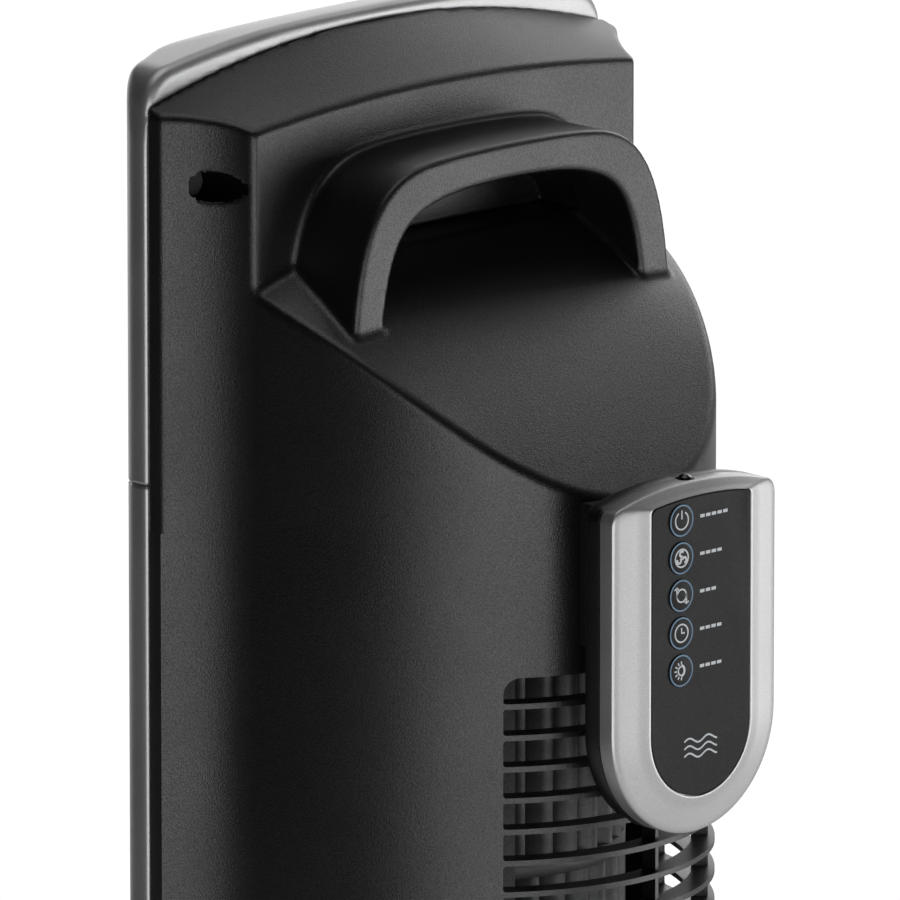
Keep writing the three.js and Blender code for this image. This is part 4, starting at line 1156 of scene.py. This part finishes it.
def cell_cover():
    """The coin cell's cover, with a slot for a coin."""
    low, high = corner("cell_cover", 0), corner("cell_cover", 1)
    middle = middle_of("cell_cover")
    radius = (high.x - low.x) / 2
    thick = high.y - low.y
    profile = [(0.01, 0), (radius - 0.4, 0), (radius, 0.4), (radius, thick), (0.01, thick)]
    cover = tool(*laid(lathe(profile, 64), 0, low.y, middle.z))
    outline = [(x, middle.z + z) for x, z in round_box(6.5, -0.9, 0.9, 0.85, 6)]
    cover = carve(cover, [tool(*prism_y(outline, low.y - 1, low.y + 0.7))])
    dress(cover, "cell_cover_disc", "black_plastic", "cell_cover", ["cell_cover"])


# CAD nodes that stay


def dress_cad():
    """Gives the CAD nodes that still show their finish and their shading."""
    slots = {row["node"]: row["material_slot"] for row in frame["record"]["subparts"]}
    for name, obj in frame["nodes"].items():
        if obj.hide_render:
            continue
        mesh = obj.data
        mesh.materials.clear()
        mesh.materials.append(FINISHES[slots[name]])
        if "custom_normal" in mesh.attributes:
            mesh.attributes.remove(mesh.attributes["custom_normal"])
        mesh.shade_smooth()
        mesh.set_sharp_from_angle(angle=math.radians(35))


# Stage


def stage():
    """A pale floor, a white surround and six soft lights all round, two of them at the rear."""
    ring = circle(3.1 / MM, count=120)
    floor = tool([(x, y, 0) for x, y in ring], [range(len(ring))], "floor")
    floor.data.materials.append(finish("floor", (0.8, 0.8, 0.79), 0.7, 3, 0.01, 0, 0.02))

    world = bpy.data.worlds.new("studio")
    bpy.context.scene.world = world
    world.use_nodes = True
    nodes = world.node_tree.nodes
    link = world.node_tree.links.new
    nodes.clear()
    place = nodes.new("ShaderNodeTexCoord")
    toward = nodes.new("ShaderNodeVectorMath")
    toward.operation = "DOT_PRODUCT"
    toward.inputs[1].default_value = Vector((-0.85, -0.35, 0.1)).normalized()
    link(place.outputs["Generated"], toward.inputs[0])
    ramp = remap(world.node_tree, toward.outputs["Value"], (0.3, 1.0, 0.01, 0.8))
    lighting = nodes.new("ShaderNodeBackground")
    link(ramp, lighting.inputs["Strength"])
    seen = nodes.new("ShaderNodeBackground")
    seen.inputs["Color"].default_value = (1, 1, 1, 1)
    seen.inputs["Strength"].default_value = 1.05
    path = nodes.new("ShaderNodeLightPath")
    mix = nodes.new("ShaderNodeMixShader")
    link(path.outputs["Is Camera Ray"], mix.inputs["Fac"])
    link(lighting.outputs["Background"], mix.inputs[1])
    link(seen.outputs["Background"], mix.inputs[2])
    out = nodes.new("ShaderNodeOutputWorld")
    link(mix.outputs["Shader"], out.inputs["Surface"])

    def lamp(name, place, aim, size, power):
        data = bpy.data.lights.new(name, "AREA")
        data.shape = "RECTANGLE"
        data.size, data.size_y = size
        data.energy = power
        obj = bpy.data.objects.new(name, data)
        bpy.context.scene.collection.objects.link(obj)
        obj.location = place
        obj.rotation_euler = (Vector(aim) - Vector(place)).to_track_quat("-Z", "Y").to_euler()
        obj.visible_camera = False

    lamp("key", (1.08, 1.68, 0.65), (0, 0, 0.65), (2.5, 0.95), 24)
    lamp("rear", (-1.39, 1.44, 0.65), (0, 0, 0.65), (1.9, 0.95), 20)
    lamp("side", (-2.4, -0.35, 2.3), (0, 0, 0.95), (1.1, 1.1), 15)
    lamp("far", (-2.1, -2.0, 1.8), (0, 0, 0.95), (2.4, 2.4), 18)
    lamp("front", (-0.5, -2.6, 1.1), (0, 0, 0.8), (1.6, 1.6), 7)
    lamp("top", (0, 0, 3.4), (0, 0, 0), (2.0, 2.0), 16)


def camera():
    """A long lens, a little above the object and behind its side."""
    azimuth, elevation = math.radians(135.587), math.radians(12.917)
    distance = 4.5
    aim_height, aim_shift = 0.96938, 0.0074
    right = Vector((math.cos(azimuth), math.sin(azimuth), 0))
    away = Vector((math.sin(azimuth) * math.cos(elevation),
                   -math.cos(azimuth) * math.cos(elevation), math.sin(elevation)))
    up = away.cross(right)
    data = bpy.data.cameras.new("camera")
    data.sensor_width = 36
    data.lens = 685.28
    data.clip_end = 200
    obj = bpy.data.objects.new("camera", data)
    bpy.context.scene.collection.objects.link(obj)
    aim = Vector((0, 0, aim_height)) - right * aim_shift
    turned = Matrix((right, up, away)).transposed().to_4x4()
    obj.matrix_world = Matrix.Translation(aim + away * distance) @ turned
    bpy.context.scene.camera = obj
    bpy.context.scene.view_settings.view_transform = "Standard"


tower_head()
tower_body()
silver_front()
front_grille()
control_head()
impeller()
base()
remote_control()
dress_cad()
stage()
camera()
